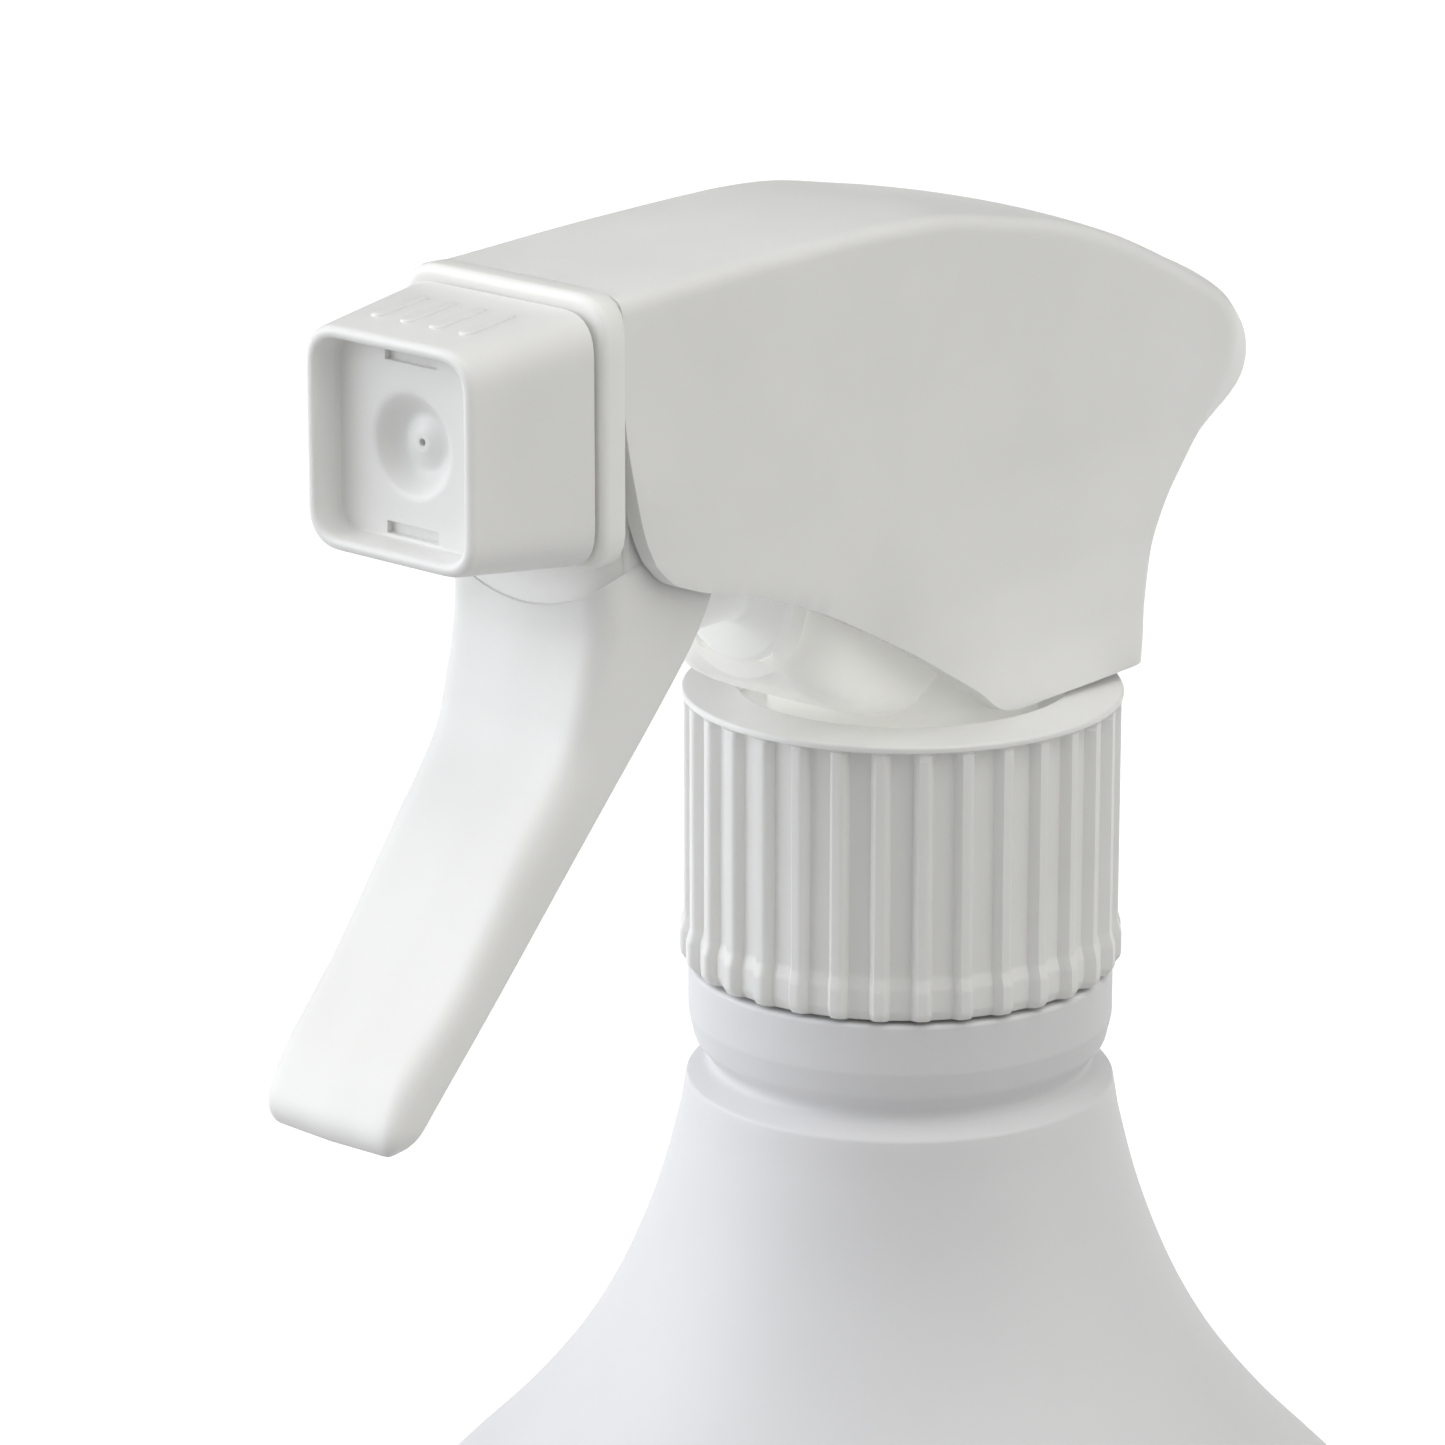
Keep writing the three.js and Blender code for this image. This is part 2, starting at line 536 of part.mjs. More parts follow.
// ---- Shroud -------------------------------------------------------------------------------------
// Side, plan and front outlines; the shroud is the space inside all three.
const SHROUD_SIDE = [[SHROUD_FRONT_Y, 38.2], [SHROUD_FRONT_Y, 27], [-39.6, 22.8], [-37.6, 18.5],
  [-33.8, 16], [-27.7, 14.3], [-19.7, 11.3], [-11.6, 7], [-5.3, 2.9], [-2.4, 0.8], [16.8, 0.8],
  [18.6, 5.5], [22.3, 10], [27.5, 13.6], [33.5, 15.6], [37.2, 17.2], [38, 20], [35, 24.2],
  [28, 28.6], [18.3, 32.4], [7.5, 35.9], [-5.4, 38.3], [-27, 38.7]];
const SHROUD_PLAN_HALF = [[9.5, -50], [9.5, -14], [12.4, -4], [12.5, 4], [11.6, 13], [9.9, 20],
  [9.5, 27.8], [8, 30.8], [6.2, 33.7], [4, 36.2], [1.6, 37.9]];
const SHROUD_FRONT_HALF = [[12.6, -1], [12.4, 1], [11.2, 5], [10.4, 10], [9.7, 18], [9.5, 36.5],
  [7.6, 39.2]];

function mirrored(half) {
  return [...half, ...half.toReversed().map(([x, other]) => [-x, other])];
}

function shroudBlock(wall) {
  const plan = new THREE.Shape(points(inset(mirrored(SHROUD_PLAN_HALF), wall)));
  const front = new THREE.Shape(points(inset(mirrored(SHROUD_FRONT_HALF), wall)));
  const planSolid = solid(new THREE.ExtrudeGeometry(plan, { depth: 60, bevelEnabled: false })
    .translate(0, 0, -10));
  const frontSolid = solid(towardsFront(front, 60, -60, 1));
  return solid(acrossX(inset(SHROUD_SIDE, wall), 20)).intersect(planSolid).intersect(frontSolid);
}

function shroud() {
  const inner = shroudBlock(SHROUD_WALL);
  const ahead = block([-30, -60, -20], [30, 13, 60]);
  const moves = [[0, 0, -SHROUD_WALL], [0, 0, -3], [0, -3, 0], [0, -3, -3]];
  const openings = moves.map((move) => inner.translate(move).intersect(ahead));
  return cut(shroudBlock(0), inner, ...openings);
}

// ---- Assembly -----------------------------------------------------------------------------------
const mister = new THREE.Group();
mister.name = 'hand_mister';
const fromLip = new THREE.Group();
fromLip.position.z = LIP_HEIGHT;
mister.add(fromLip);
fromLip.add(
  mesh('bottle', bottle(), whitePolyethylene),
  mesh('closure_cap', closureCap(), whitePolypropylene),
  mesh('closure_gasket', closureGasket(), greyFoam),
  mesh('pump_housing', pumpHousing(), naturalPolypropylene),
  mesh('shroud', shroud(), whitePolypropylene),
  mesh('trigger', trigger(), whitePolypropylene),
  mesh('nozzle_cap', nozzleCap(), whitePolypropylene),
  mesh('nozzle_seal', nozzleSeal(), blueSeal),
  mesh('swirl_insert', swirlInsert(), whiteAcetal),
  mesh('outlet_valve', outletValve(), blueSeal),
  mesh('outlet_spring', outletSpring(), springSteel),
  mesh('barrel_plug', barrelPlug(), whitePolypropylene),
  mesh('piston', piston(), clearPolyethylene),
  mesh('piston_spring', pistonSpring(), springSteel),
  mesh('intake_holder', intakeHolder(), naturalPolypropylene),
  mesh('intake_ball', intakeBall(), glassBall),
  mesh('dip_tube', dipTube(), clearPolyethylene),
  mesh('dip_tube_strainer', dipTubeStrainer(), whitePolypropylene),
);

export default mister;
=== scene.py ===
"""Hand mister: a trigger pump head screwed on a blow-moulded bottle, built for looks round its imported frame.

Shapes are drawn in millimetres with z = 0 at the closure's top lip, and place() turns them into metres in
the frame. The bottle's axis is X = Y = 0 and the nozzle points along -Y.
"""
import math

import bmesh
import bpy
from mathutils import Matrix, Vector


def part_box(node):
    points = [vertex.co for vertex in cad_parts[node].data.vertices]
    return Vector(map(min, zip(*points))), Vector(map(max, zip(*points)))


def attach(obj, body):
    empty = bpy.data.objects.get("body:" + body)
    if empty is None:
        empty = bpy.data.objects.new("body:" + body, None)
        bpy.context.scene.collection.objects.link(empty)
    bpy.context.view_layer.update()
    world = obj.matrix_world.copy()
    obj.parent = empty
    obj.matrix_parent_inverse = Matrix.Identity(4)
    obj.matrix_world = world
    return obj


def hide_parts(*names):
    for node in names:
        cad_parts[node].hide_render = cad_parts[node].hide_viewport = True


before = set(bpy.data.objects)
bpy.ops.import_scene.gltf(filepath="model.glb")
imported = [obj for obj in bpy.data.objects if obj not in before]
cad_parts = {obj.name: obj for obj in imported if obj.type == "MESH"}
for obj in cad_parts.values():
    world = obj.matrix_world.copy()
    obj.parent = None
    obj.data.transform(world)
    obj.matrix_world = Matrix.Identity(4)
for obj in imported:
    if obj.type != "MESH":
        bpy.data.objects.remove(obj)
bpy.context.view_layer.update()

# ---- Driving dimensions, in millimetres ---------------------------------------------------------
CLOSURE_CROWN = 0.4  # the closure's top rises this much towards its hole
LIP_HEIGHT = 1000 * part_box("closure_cap")[1].z - CLOSURE_CROWN
BASE_Z = 1000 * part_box("bottle")[0].z - LIP_HEIGHT

# Bottle: the shoulder from the straight body up to the ridge under the neck ring
BODY_RADIUS = 42
SHOULDER = [(42, -78), (41.75, -75), (40.6, -71.5), (36.5, -66.5), (30.9, -61), (25.6, -54.6),
            (23.3, -51), (21.35, -47.4), (19.9, -43.9), (18.6, -40.5), (17.6, -37), (16.8, -33.5)]
BOTTLE_WALL = 1.2
BASE_PUSH_UP = 1.2
NECK_RADIUS = 12.5
MOUTH_RADIUS = 10.9
MOUTH_Z = -4.9
NECK_RING_RADIUS = 16.2
NECK_RING_Z = -21.75
BOTTLE_SIDES = 180

# Rounded bead threads on the neck and in the closure
THREAD_PITCH = 4.23
THREAD_TURNS = 1.5
THREAD_BEAD = 0.95
THREAD_START = -14.5
THREAD_STEP = 0.3  # height of one row of faces on a thread

# Ribbed closure
CLOSURE_BOTTOM = -21.5
CLOSURE_BORE = 14.1
CLOSURE_LIP_RADIUS = 16.7
CLOSURE_ROOT_RADIUS = 15.75  # bottom of the grooves between ribs
CLOSURE_HOLE_RADIUS = 12.6
CLOSURE_BULGE = 0.3  # the bead at the bottom edge, under the ribs too
RIB_COUNT = 32
RIB_HEIGHT = 0.8
RIB_TOP_HALF = 0.42
RIB_FOOT_HALF = 0.78
RIB_PHASE = 1.3  # degrees
RIB_FACES = 14  # faces round one rib and its groove

# Pump housing
BARREL_Z = 28.4
BARREL_RADIUS = 4.3
BARREL_BORE = 2.6
BARREL_REAR_Y = 5
BARREL_FRONT_Y = -48.8
PUMP_Z = 11.5
PUMP_BORE = 5.8
COWL_HALF = 7.6
COWL_CORNER = 3.8
COWL_FRONT_Y = -19
COWL_BACK_Y = -5.2
COWL_BOTTOM = [(-19, 5.0), (-17.5, 3.6), (-13, 1.6), (-9, 0.6), (4, 0.6)]  # (y, z)
COWL_TOP = [(-19, 18.5), (-6, 18.5), (3, 14.5), (4, 14.5)]
COLLAR_HALF = 9.7
COLLAR_TOP = 38.6
COLLAR_CORNER = 2.9
COLLAR_FRONT_Y = -43.1
COLLAR_REAR_Y = -40.93
COLLAR_DROP = 9.5  # from the barrel's axis down to its lower edge
HOUSING_SIDES = 96
PIVOT_Y = -33.5

# Nozzle cap
NOZZLE_BACK_Y = -43.4
NOZZLE_FRONT_Y = -54.6
NOZZLE_BACK_HALF = 9.15
NOZZLE_FRONT_HALF = 8
NOZZLE_CORNER = 3
RECESS_Y = -52.2
WEB_BACK_Y = -50.8
SLOT_HEIGHTS = (6.15, -6.2)  # the two blind slots, from the barrel's axis
SLOT_HALF_WIDTH = 2.5
SLOT_HALF_HEIGHT = 0.45
SLOT_FRONT_Y = -53
SLOT_FLOOR_Y = -51.7
MARK_PLACES = (-4.2, -1.4, 1.4, 4.2)

# Trigger: front and back edge (y, z, y, z) and half-width from its top to its tip
TRIGGER_STATIONS = [
    (-41.5, 15.0, -29.2, 17.6, 7.8), (-41.55, 14.4, -29.5, 14.8, 7.75),
    (-41.8, 12.4, -31.4, 11.7, 7.65), (-42.7, 8.8, -35.6, 6.85, 7.55),
    (-44.2, 4.7, -39.4, 2.64, 7.4), (-48.5, -0.8, -45.2, -3.76, 7.2),
    (-54.1, -8.3, -51.4, -10.7, 6.95), (-59.4, -13.9, -56.6, -16.4, 6.7),
    (-61.3, -16.9, -58.2, -18.2, 6.6), (-61.9, -18.6, -58.75, -18.9, 6.4),
    (-61.6, -19.7, -59.3, -19.55, 5.9), (-60.8, -20.2, -60.1, -20.1, 5.1)]
TRIGGER_STEPS = 6
TRIGGER_WALL = 1.5
TRIGGER_FRONT_WALL = 1.8
TRIGGER_LEDGE = 1.1  # the front wall is this much thicker under the nozzle
TRIGGER_CORNER = 2.2
TRIGGER_ARC_RADIUS = 13.4  # clears the turning nozzle's corners
ARM_RADIUS = 4.4
ARM_INSIDE = 6.34
ARM_OUTSIDE = 7.74
PIN_RADIUS = 1.4
PIN_START = 3.6  # from the middle plane
PIN_END = 6.8
LEDGE_HALF = 7.6
LEDGE_STEPS = 32
LEDGE_FRONT_Y = -41.4
LEDGE_BOTTOM_Z = 13.5
LEDGE_EDGE_Z = 14.95  # the middle of its curved front edge
LEDGE_SLOPE_TOP_Z = 17.9
LEDGE_TOP_Z = 19.7

# Shroud: its crease between top and side, its middle outline, and its side panel's other edges, as (y, z)
SHROUD_CREASE = [
    (-40.9, 38.1), (-35, 38.3), (-27, 38.6), (-18, 38.75), (-11.8, 38.7), (-5.4, 38.3), (1, 37.1),
    (7.5, 35.7), (13.6, 33.6), (18.9, 31.2), (24.2, 28.4), (26.8, 26.9), (27.75, 25.6),
    (27.95, 24.0), (27.3, 21.7), (26.2, 20.0), (24.9, 18.5), (22.9, 16.7), (21.3, 14.9),
    (19.2, 12.6), (17.2, 9.5), (15.8, 5.2), (15, 0.8)]
SHROUD_MIDDLE = [
    (-40.9, 38.6), (-35, 38.85), (-27, 39.0), (-18, 39.0), (-11.8, 38.95), (-5.4, 38.6), (1, 37.5),
    (7.5, 36.2), (13.6, 34.3), (18.3, 32.5), (24, 30.3), (29, 28.1), (33.6, 25.2), (37, 22),
    (38, 19.6), (37, 17.3), (33.5, 15.6), (30, 14.6), (27.5, 13.4), (24, 11.2), (20.9, 8.6),
    (18, 4.9), (16.8, 0.8)]
SHROUD_SEAM = [
    (-40.9, 38.1), (-40.9, 36.9), (-40.9, 35), (-40.85, 31), (-40.5, 27), (-39.8, 23.6),
    (-38.8, 20.7), (-37.6, 18.5)]
SHROUD_LOWER = [
    (-37.6, 18.5), (-35.9, 16.9), (-33.8, 16), (-31.6, 15.3), (-27.7, 14.3), (-23.7, 12.9),
    (-19.7, 11.3), (-15.7, 9.3), (-11.6, 7), (-7.4, 4.3), (-5.3, 2.9), (-2.2, 0.8), (4, 0.8)]
SHROUD_PLAN = [
    (-60, 9.5), (-22, 9.5), (-14, 9.7), (-9, 11.2), (-4, 12.4), (4, 12.6), (13, 11.8), (20, 10.2),
    (26, 9.7), (40, 9.6)]
SHROUD_FRONT = [(-2, 12.8), (1, 12.4), (5, 11.2), (10, 10.4), (18, 9.75), (26, 9.6), (36, 9.6), (42, 9.6)]
SHROUD_WALL = 1.3
SHROUD_CORNER = 1.3
SHROUD_ROWS = 150
SHROUD_COLUMNS = 24  # faces down one side panel
SHROUD_SOFTNESS = 0.35  # how gently the panel's plan and front curves meet
SHROUD_FLARE = 0.35  # a low swelling of the panel behind the collar
SHROUD_FLARE_PLACE = (-40, 24.5)
SHROUD_FLARE_SPREAD = (3.5, 4)

# Camera, in degrees and metres
CAMERA_LENS = 169.4
CAMERA_AZIMUTH = 42
CAMERA_ELEVATION = 16.6
CAMERA_PLACE = (0.3193, -0.3749, 0.3387)

# Floor sweep, in metres, with painted light glowing on its far end, and the soft lights round the object
FLOOR_REACH = 8
AWAY = (-0.669, 0.743, 0.0)  # the direction of the end of the sweep that glows with painted light
PAINTED_LIGHT_FROM = 0.2
PAINTED_LIGHT_FULL = 0.33
PAINTED_LIGHT_STRENGTH = 0.74
SOFT_LIGHTS = [  # direction, strength, tightness and colour
    ((-0.77, -0.62, 0.14), 1.04, 6.0, (0.97, 0.985, 1.02)),
    ((-0.15, -0.98, 0.15), 0.08, 6.0, (0.99, 0.995, 1.01)),
    ((0.92, 0.26, 0.32), 0.30, 6.0, (1.02, 1.01, 0.96)),
    ((0.28, -0.04, 0.96), 0.51, 6.0, (1.01, 1.005, 0.985)),
]
FILL = 0.06


# ---- Curves -------------------------------------------------------------------------------------
def curve(points, steps):
    """A smooth curve through the points."""
    known = [Vector(point) for point in points]
    ends = [2 * known[0] - known[1]] + known + [2 * known[-1] - known[-2]]
    result = []
    for a, b, c, d in zip(ends, ends[1:], ends[2:], ends[3:]):
        for k in range(steps):
            t = k / steps
            bend = (2 * a - 5 * b + 4 * c - d) * t**2 + (3 * b - a - 3 * c + d) * t**3
            result.append((2 * b + (c - a) * t + bend) / 2)
    return result + [known[-1]]


def evenly(points, count):
    """The same line with its points at equal distances."""
    lengths = [0.0]
    for a, b in zip(points, points[1:]):
        lengths.append(lengths[-1] + (b - a).length)
    result = []
    i = 0
    for k in range(count + 1):
        target = lengths[-1] * k / count
        while i < len(points) - 2 and lengths[i + 1] < target:
            i += 1
        share = (target - lengths[i]) / (lengths[i + 1] - lengths[i])
        result.append(points[i].lerp(points[i + 1], share))
    return result


def relaxed(points, passes):
    """The same line with its small waves ironed out and its ends kept."""
    for _ in range(passes):
        inner = [(a + 2 * b + c) / 4 for a, b, c in zip(points, points[1:], points[2:])]
        points = [points[0]] + inner + [points[-1]]
    return points


def filleted(corners, steps=5, closed=False):
    """A line through (a, b, radius) corners, each rounded to its radius."""
    result = []
    for i, (a, b, radius) in enumerate(corners):
        corner = Vector((a, b))
        if radius == 0 or (not closed and i in (0, len(corners) - 1)):
            result.append(corner)
            continue
        before = Vector(corners[i - 1][:2]) - corner
        after = Vector(corners[(i + 1) % len(corners)][:2]) - corner
        reach = radius / math.tan(before.angle(after) / 2)
        reach = min(reach, 0.49 * before.length, 0.49 * after.length)
        start = corner + before.normalized() * reach
        end = corner + after.normalized() * reach
        for k in range(steps + 1):
            t = k / steps
            result.append(start * (1 - t) ** 2 + corner * 2 * t * (1 - t) + end * t**2)
    return result


def height_on(pairs, x):
    """The value of a smooth curve of (x, value) pairs at x."""
    for (x0, v0), (x1, v1) in zip(pairs, pairs[1:]):
        if x <= x1:
            t = max(0.0, (x - x0) / (x1 - x0))
            return v0 + (v1 - v0) * t * t * (3 - 2 * t) * 0.35 + (v1 - v0) * t * 0.65
    return pairs[-1][1]


def by_angle(outline, centre, count):
    """The points of a closed outline at equal angles round a centre."""
    marks = []
    for point in outline:
        offset = point - centre
        marks.append((math.atan2(offset.y, offset.x) % (2 * math.pi), offset.length))
    marks.sort()
    marks = [(marks[-1][0] - 2 * math.pi, marks[-1][1])] + marks + [(marks[0][0] + 2 * math.pi, marks[0][1])]
    result = []
    i = 0
    for k in range(count):
        angle = 2 * math.pi * (k + 0.5) / count
        while marks[i + 1][0] < angle:
            i += 1
        (a0, r0), (a1, r1) = marks[i], marks[i + 1]
        p0 = Vector((r0 * math.cos(a0), r0 * math.sin(a0)))
        p1 = Vector((r1 * math.cos(a1), r1 * math.sin(a1)))
        ray = Vector((math.cos(angle), math.sin(angle)))
        edge = p1 - p0
        reach = p0.cross(edge) / ray.cross(edge)
        result.append(centre + ray * reach)
    return result


def inset(outline, distance):
    """A closed outline moved inwards by a distance."""
    area = sum(a.cross(b) for a, b in zip(outline, outline[1:] + outline[:1]))
    side = math.copysign(distance, area)
    result = []
    for before, corner, after in zip(outline[-1:] + outline, outline, outline[1:] + outline[:1]):
        first = (corner - before).normalized()
        second = (after - corner).normalized()
        mean = Vector((-first.y - second.y, first.x + second.x))
        result.append(corner + mean * (2 * side / mean.length_squared))
    return result


# ---- Shapes -------------------------------------------------------------------------------------
def skin(loops, joined=False):
    """A closed skin over loops of points; a loop of one point ends in a fan, and joined ends meet."""
    shape = bmesh.new()
    rings = [[shape.verts.new(point) for point in loop] for loop in loops]
    if joined:
        rings.append(rings[0])
    for first, second in zip(rings, rings[1:]):
        count = max(len(first), len(second))
        for i in range(count):
            j = (i + 1) % count
            corners = [first[i % len(first)], first[j % len(first)],
                       second[j % len(second)], second[i % len(second)]]
            corners = list(dict.fromkeys(corners))
            if len(corners) > 2:
                shape.faces.new(corners)
    for ring in (rings[0], rings[-1]):
        if not joined and len(ring) > 2:
            shape.faces.new(ring)
    return shape


def turned(profile, sides, axis="z", centre=(0, 0), swell=None, joined=False):
    """A profile of (radius, height) turned round an axis.

    swell(radius, height, angle) changes its radius.
    """
    loops = []
    for radius, height in profile:
        loop = []
        for k in range(sides if radius > 0.001 else 1):
            angle = 2 * math.pi * k / sides
            reach = swell(radius, height, angle) if swell else radius
            a = centre[0] + reach * math.cos(angle)
            b = centre[1] + reach * math.sin(angle)
            loop.append({"x": (height, a, b), "y": (a, height, b), "z": (a, b, height)}[axis])
        loops.append(loop)
    return skin(loops, joined)


def plate(outline, low, high, edge):
    """A (y, z) outline with a thickness across X and softened edges."""
    small = inset(outline, edge)
    levels = [(low, small), (low + edge, outline), (high - edge, outline), (high, small)]
    return skin([[(x, p.x, p.y) for p in points] for x, points in levels])


def rounded_box(half, low, high, corner, steps=8):
    """An (x, z) outline from low to high, with rounded corners."""
    corners = [(half, high, corner), (-half, high, corner), (-half, low, corner), (half, low, corner)]
    return filleted(corners, steps, closed=True)


def circle(radius, centre, count):
    angles = [2 * math.pi * (k + 0.5) / count for k in range(count)]
    return [centre + Vector((radius * math.cos(a), radius * math.sin(a))) for a in angles]


def at_y(points, y):
    return [(p.x, y, p.y) for p in points]


def to_object(shape, name):
    mesh = bpy.data.meshes.new(name)
    shape.to_mesh(mesh)
    shape.free()
    made = bpy.data.objects.new(name, mesh)
    bpy.context.scene.collection.objects.link(made)
    return made


def finished(made):
    """A shape with its object's modifiers applied; the object is removed."""
    view = bpy.context.evaluated_depsgraph_get()
    shape = bmesh.new()
    shape.from_object(made, view)
    bpy.data.objects.remove(made)
    return shape


def carved(shape, cutters):
    """A shape with the cutters taken out of it."""
    bmesh.ops.recalc_face_normals(shape, faces=shape.faces)
    whole = to_object(shape, "whole")
    tools = []
    for cutter in cutters:
        bmesh.ops.recalc_face_normals(cutter, faces=cutter.faces)
        tools.append(to_object(cutter, "tool"))
        step = whole.modifiers.new("cut", "BOOLEAN")
        step.operation = "DIFFERENCE"
        step.solver = "EXACT"
        step.object = tools[-1]
    result = finished(whole)
    for tool in tools:
        bpy.data.objects.remove(tool)
    return result


def place(name, shape, material, body, nodes, sharp=38):
    """Turn a shape into a piece of the model: in metres, smooth but for its sharp edges, on its body."""
    for vert in shape.verts:
        vert.co = (vert.co + Vector((0, 0, LIP_HEIGHT))) / 1000
    bmesh.ops.recalc_face_normals(shape, faces=shape.faces)
    bmesh.ops.triangulate(shape, faces=[face for face in shape.faces if len(face.verts) > 4])
    piece = to_object(shape, name)
    piece.data.shade_smooth()
    piece.data.set_sharp_from_angle(angle=math.radians(sharp))
    piece.data.materials.append(material)
    evener = piece.modifiers.new("even shading on flat faces", "WEIGHTED_NORMAL")
    evener.keep_sharp = True
    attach(piece, body)
    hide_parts(*nodes)


# ---- Materials ----------------------------------------------------------------------------------
def linear(hex_colour):
    """An sRGB hex colour as linear red, green, blue and alpha."""
    parts = [int(hex_colour[i:i + 2], 16) / 255 for i in (0, 2, 4)]
    return tuple(c / 12.92 if c <= 0.04045 else ((c + 0.055) / 1.055) ** 2.4 for c in parts) + (1.0,)


def add(tree, kind, inputs, **settings):
    """Add a node with its settings; an input is a value or another node's output."""
    made = tree.nodes.new(kind)
    for name, value in settings.items():
        setattr(made, name, value)
    for name, value in inputs.items():
        if isinstance(value, bpy.types.NodeSocket):
            tree.links.new(value, made.inputs[name])
        else:
            made.inputs[name].default_value = value
    return made


def per_metre(millimetres):
    """The noise scale whose pattern repeats about every so many millimetres."""
    return 1000 / millimetres


def started(name):
    """A new material with its node tree, its shader and its object coordinates."""
    material = bpy.data.materials.new(name)
    material.use_nodes = True
    tree = material.node_tree
    where = add(tree, "ShaderNodeTexCoord", {})
    return material, tree, tree.nodes["Principled BSDF"], where.outputs["Object"]


def plastic(name, light, dark, rough, cloud, grain, bump, glow, depth, ior=1.49, painted_glow=0.0):
    """A moulded plastic: clouds of tint and gloss, and a fine grain in its surface.

    light and dark are the tints, rough the range of roughness, cloud and grain the sizes of the patterns in
    millimetres, bump the grain's height in millimetres, glow and depth how much light spreads under the
    surface and how far in millimetres, and the last argument the strength of an even emission of the light
    tint: a painted glow that brightens shaded faces as if light came through the walls.
    """
    material, tree, shader, where = started(name)
    clouds = add(tree, "ShaderNodeTexNoise", {
        "Vector": where, "Scale": per_metre(cloud), "Detail": 3.0, "Roughness": 0.55})
    grains = add(tree, "ShaderNodeTexNoise", {
        "Vector": where, "Scale": per_metre(grain), "Detail": 2.0, "Roughness": 0.6})
    tint = add(tree, "ShaderNodeValToRGB", {"Fac": clouds.outputs["Fac"]})
    tint.color_ramp.elements[0].position = 0.3
    tint.color_ramp.elements[0].color = linear(dark)
    tint.color_ramp.elements[1].position = 0.7
    tint.color_ramp.elements[1].color = linear(light)
    mixed = add(tree, "ShaderNodeMath", {
        0: clouds.outputs["Fac"], 1: grains.outputs["Fac"]}, operation="ADD")
    gloss = add(tree, "ShaderNodeMapRange", {
        "Value": mixed.outputs[0], "From Min": 0.6, "From Max": 1.4, "To Min": rough[0], "To Max": rough[1]})
    relief = add(tree, "ShaderNodeBump", {
        "Height": grains.outputs["Fac"], "Strength": 1.0, "Distance": bump / 1000})
    tree.links.new(tint.outputs["Color"], shader.inputs["Base Color"])
    tree.links.new(gloss.outputs["Result"], shader.inputs["Roughness"])
    tree.links.new(relief.outputs["Normal"], shader.inputs["Normal"])
    shader.inputs["IOR"].default_value = ior
    shader.inputs["Subsurface Weight"].default_value = glow
    shader.inputs["Subsurface Radius"].default_value = (1.0, 0.93, 0.86)
    shader.inputs["Subsurface Scale"].default_value = depth / 1000
    # Painted glow: the part emits its light tint evenly, which brightens its shaded faces.
    shader.inputs["Emission Color"].default_value = linear(light)
    shader.inputs["Emission Strength"].default_value = painted_glow
    return material


def white_polypropylene():
    # Injection-moulded and pigmented white: satin, with the faint grain of a spark-eroded mould.
    return plastic("white_polypropylene_moulded", "F1F1F0", "EBEBE9", (0.36, 0.46), 18, 0.45,
                   0.006, 0.15, 1.2)


def natural_polypropylene(name, painted_glow):
    # Unpigmented: milky, so that light spreads through it and softens its shadows, with polished faces; its
    # emission adds a painted glow that brightens its shaded parts.
    return plastic(name, "F6F6F3", "F0F0EC", (0.26, 0.38), 12, 0.6, 0.004, 0.3, 2.0,
                   painted_glow=painted_glow)


def white_polyethylene():
    # Blown against a sand-blasted mould: waxy, softer than the head, with slow waves of tint and gloss.
    return plastic("white_polyethylene_blown", "E4E4E6", "DFDFE1", (0.42, 0.54), 26, 0.8,
                   0.008, 0.25, 2.2, ior=1.51)


def clear_polyethylene():
    # Unpigmented and extruded: a waxy, cloudy white that glows where it is thin as light spreads under its
    # surface, plus an even painted glow from a little emission all over.
    return plastic("clear_polyethylene_extruded", "F4F5F3", "EEEFED", (0.28, 0.42), 6, 0.5,
                   0.005, 0.3, 2.0, ior=1.51, painted_glow=0.2)


def white_acetal():
    # Machined-smooth moulding: hard, ivory white and a little slippery in its gloss.
    return plastic("white_acetal_moulded", "EFEDE6", "E7E5DC", (0.24, 0.34), 5, 0.3, 0.003,
                   0.2, 1.0, ior=1.48)


def grey_foam():
    # Foamed polyethylene liner, die-cut: matt, with its cells showing as small pits.
    return plastic("grey_foam_die_cut", "DADAD5", "B9B9B3", (0.8, 0.95), 1.2, 0.5, 0.08, 0.2, 1.0)


def seal_elastomer():
    # Thermoplastic elastomer, moulded: bluish white and matt, with a dusty bloom.
    return plastic("seal_elastomer_moulded", "DCE1E4", "CBD1D5", (0.55, 0.7), 3, 0.3, 0.01, 0.3, 1.2)


def spring_steel():
    # Drawn stainless wire: bright metal with fine draw lines that blur its highlight.
    material, tree, shader, where = started("stainless_spring_wire_drawn")
    lines = add(tree, "ShaderNodeTexNoise", {
        "Vector": where, "Scale": per_metre(0.2), "Detail": 2.0})
    tint = add(tree, "ShaderNodeValToRGB", {"Fac": lines.outputs["Fac"]})
    tint.color_ramp.elements[0].color = linear("9FA1A3")
    tint.color_ramp.elements[1].color = linear("C8C9CA")
    gloss = add(tree, "ShaderNodeMapRange", {"Value": lines.outputs["Fac"], "To Min": 0.2, "To Max": 0.38})
    tree.links.new(tint.outputs["Color"], shader.inputs["Base Color"])
    tree.links.new(gloss.outputs["Result"], shader.inputs["Roughness"])
    shader.inputs["Metallic"].default_value = 1.0
    return material


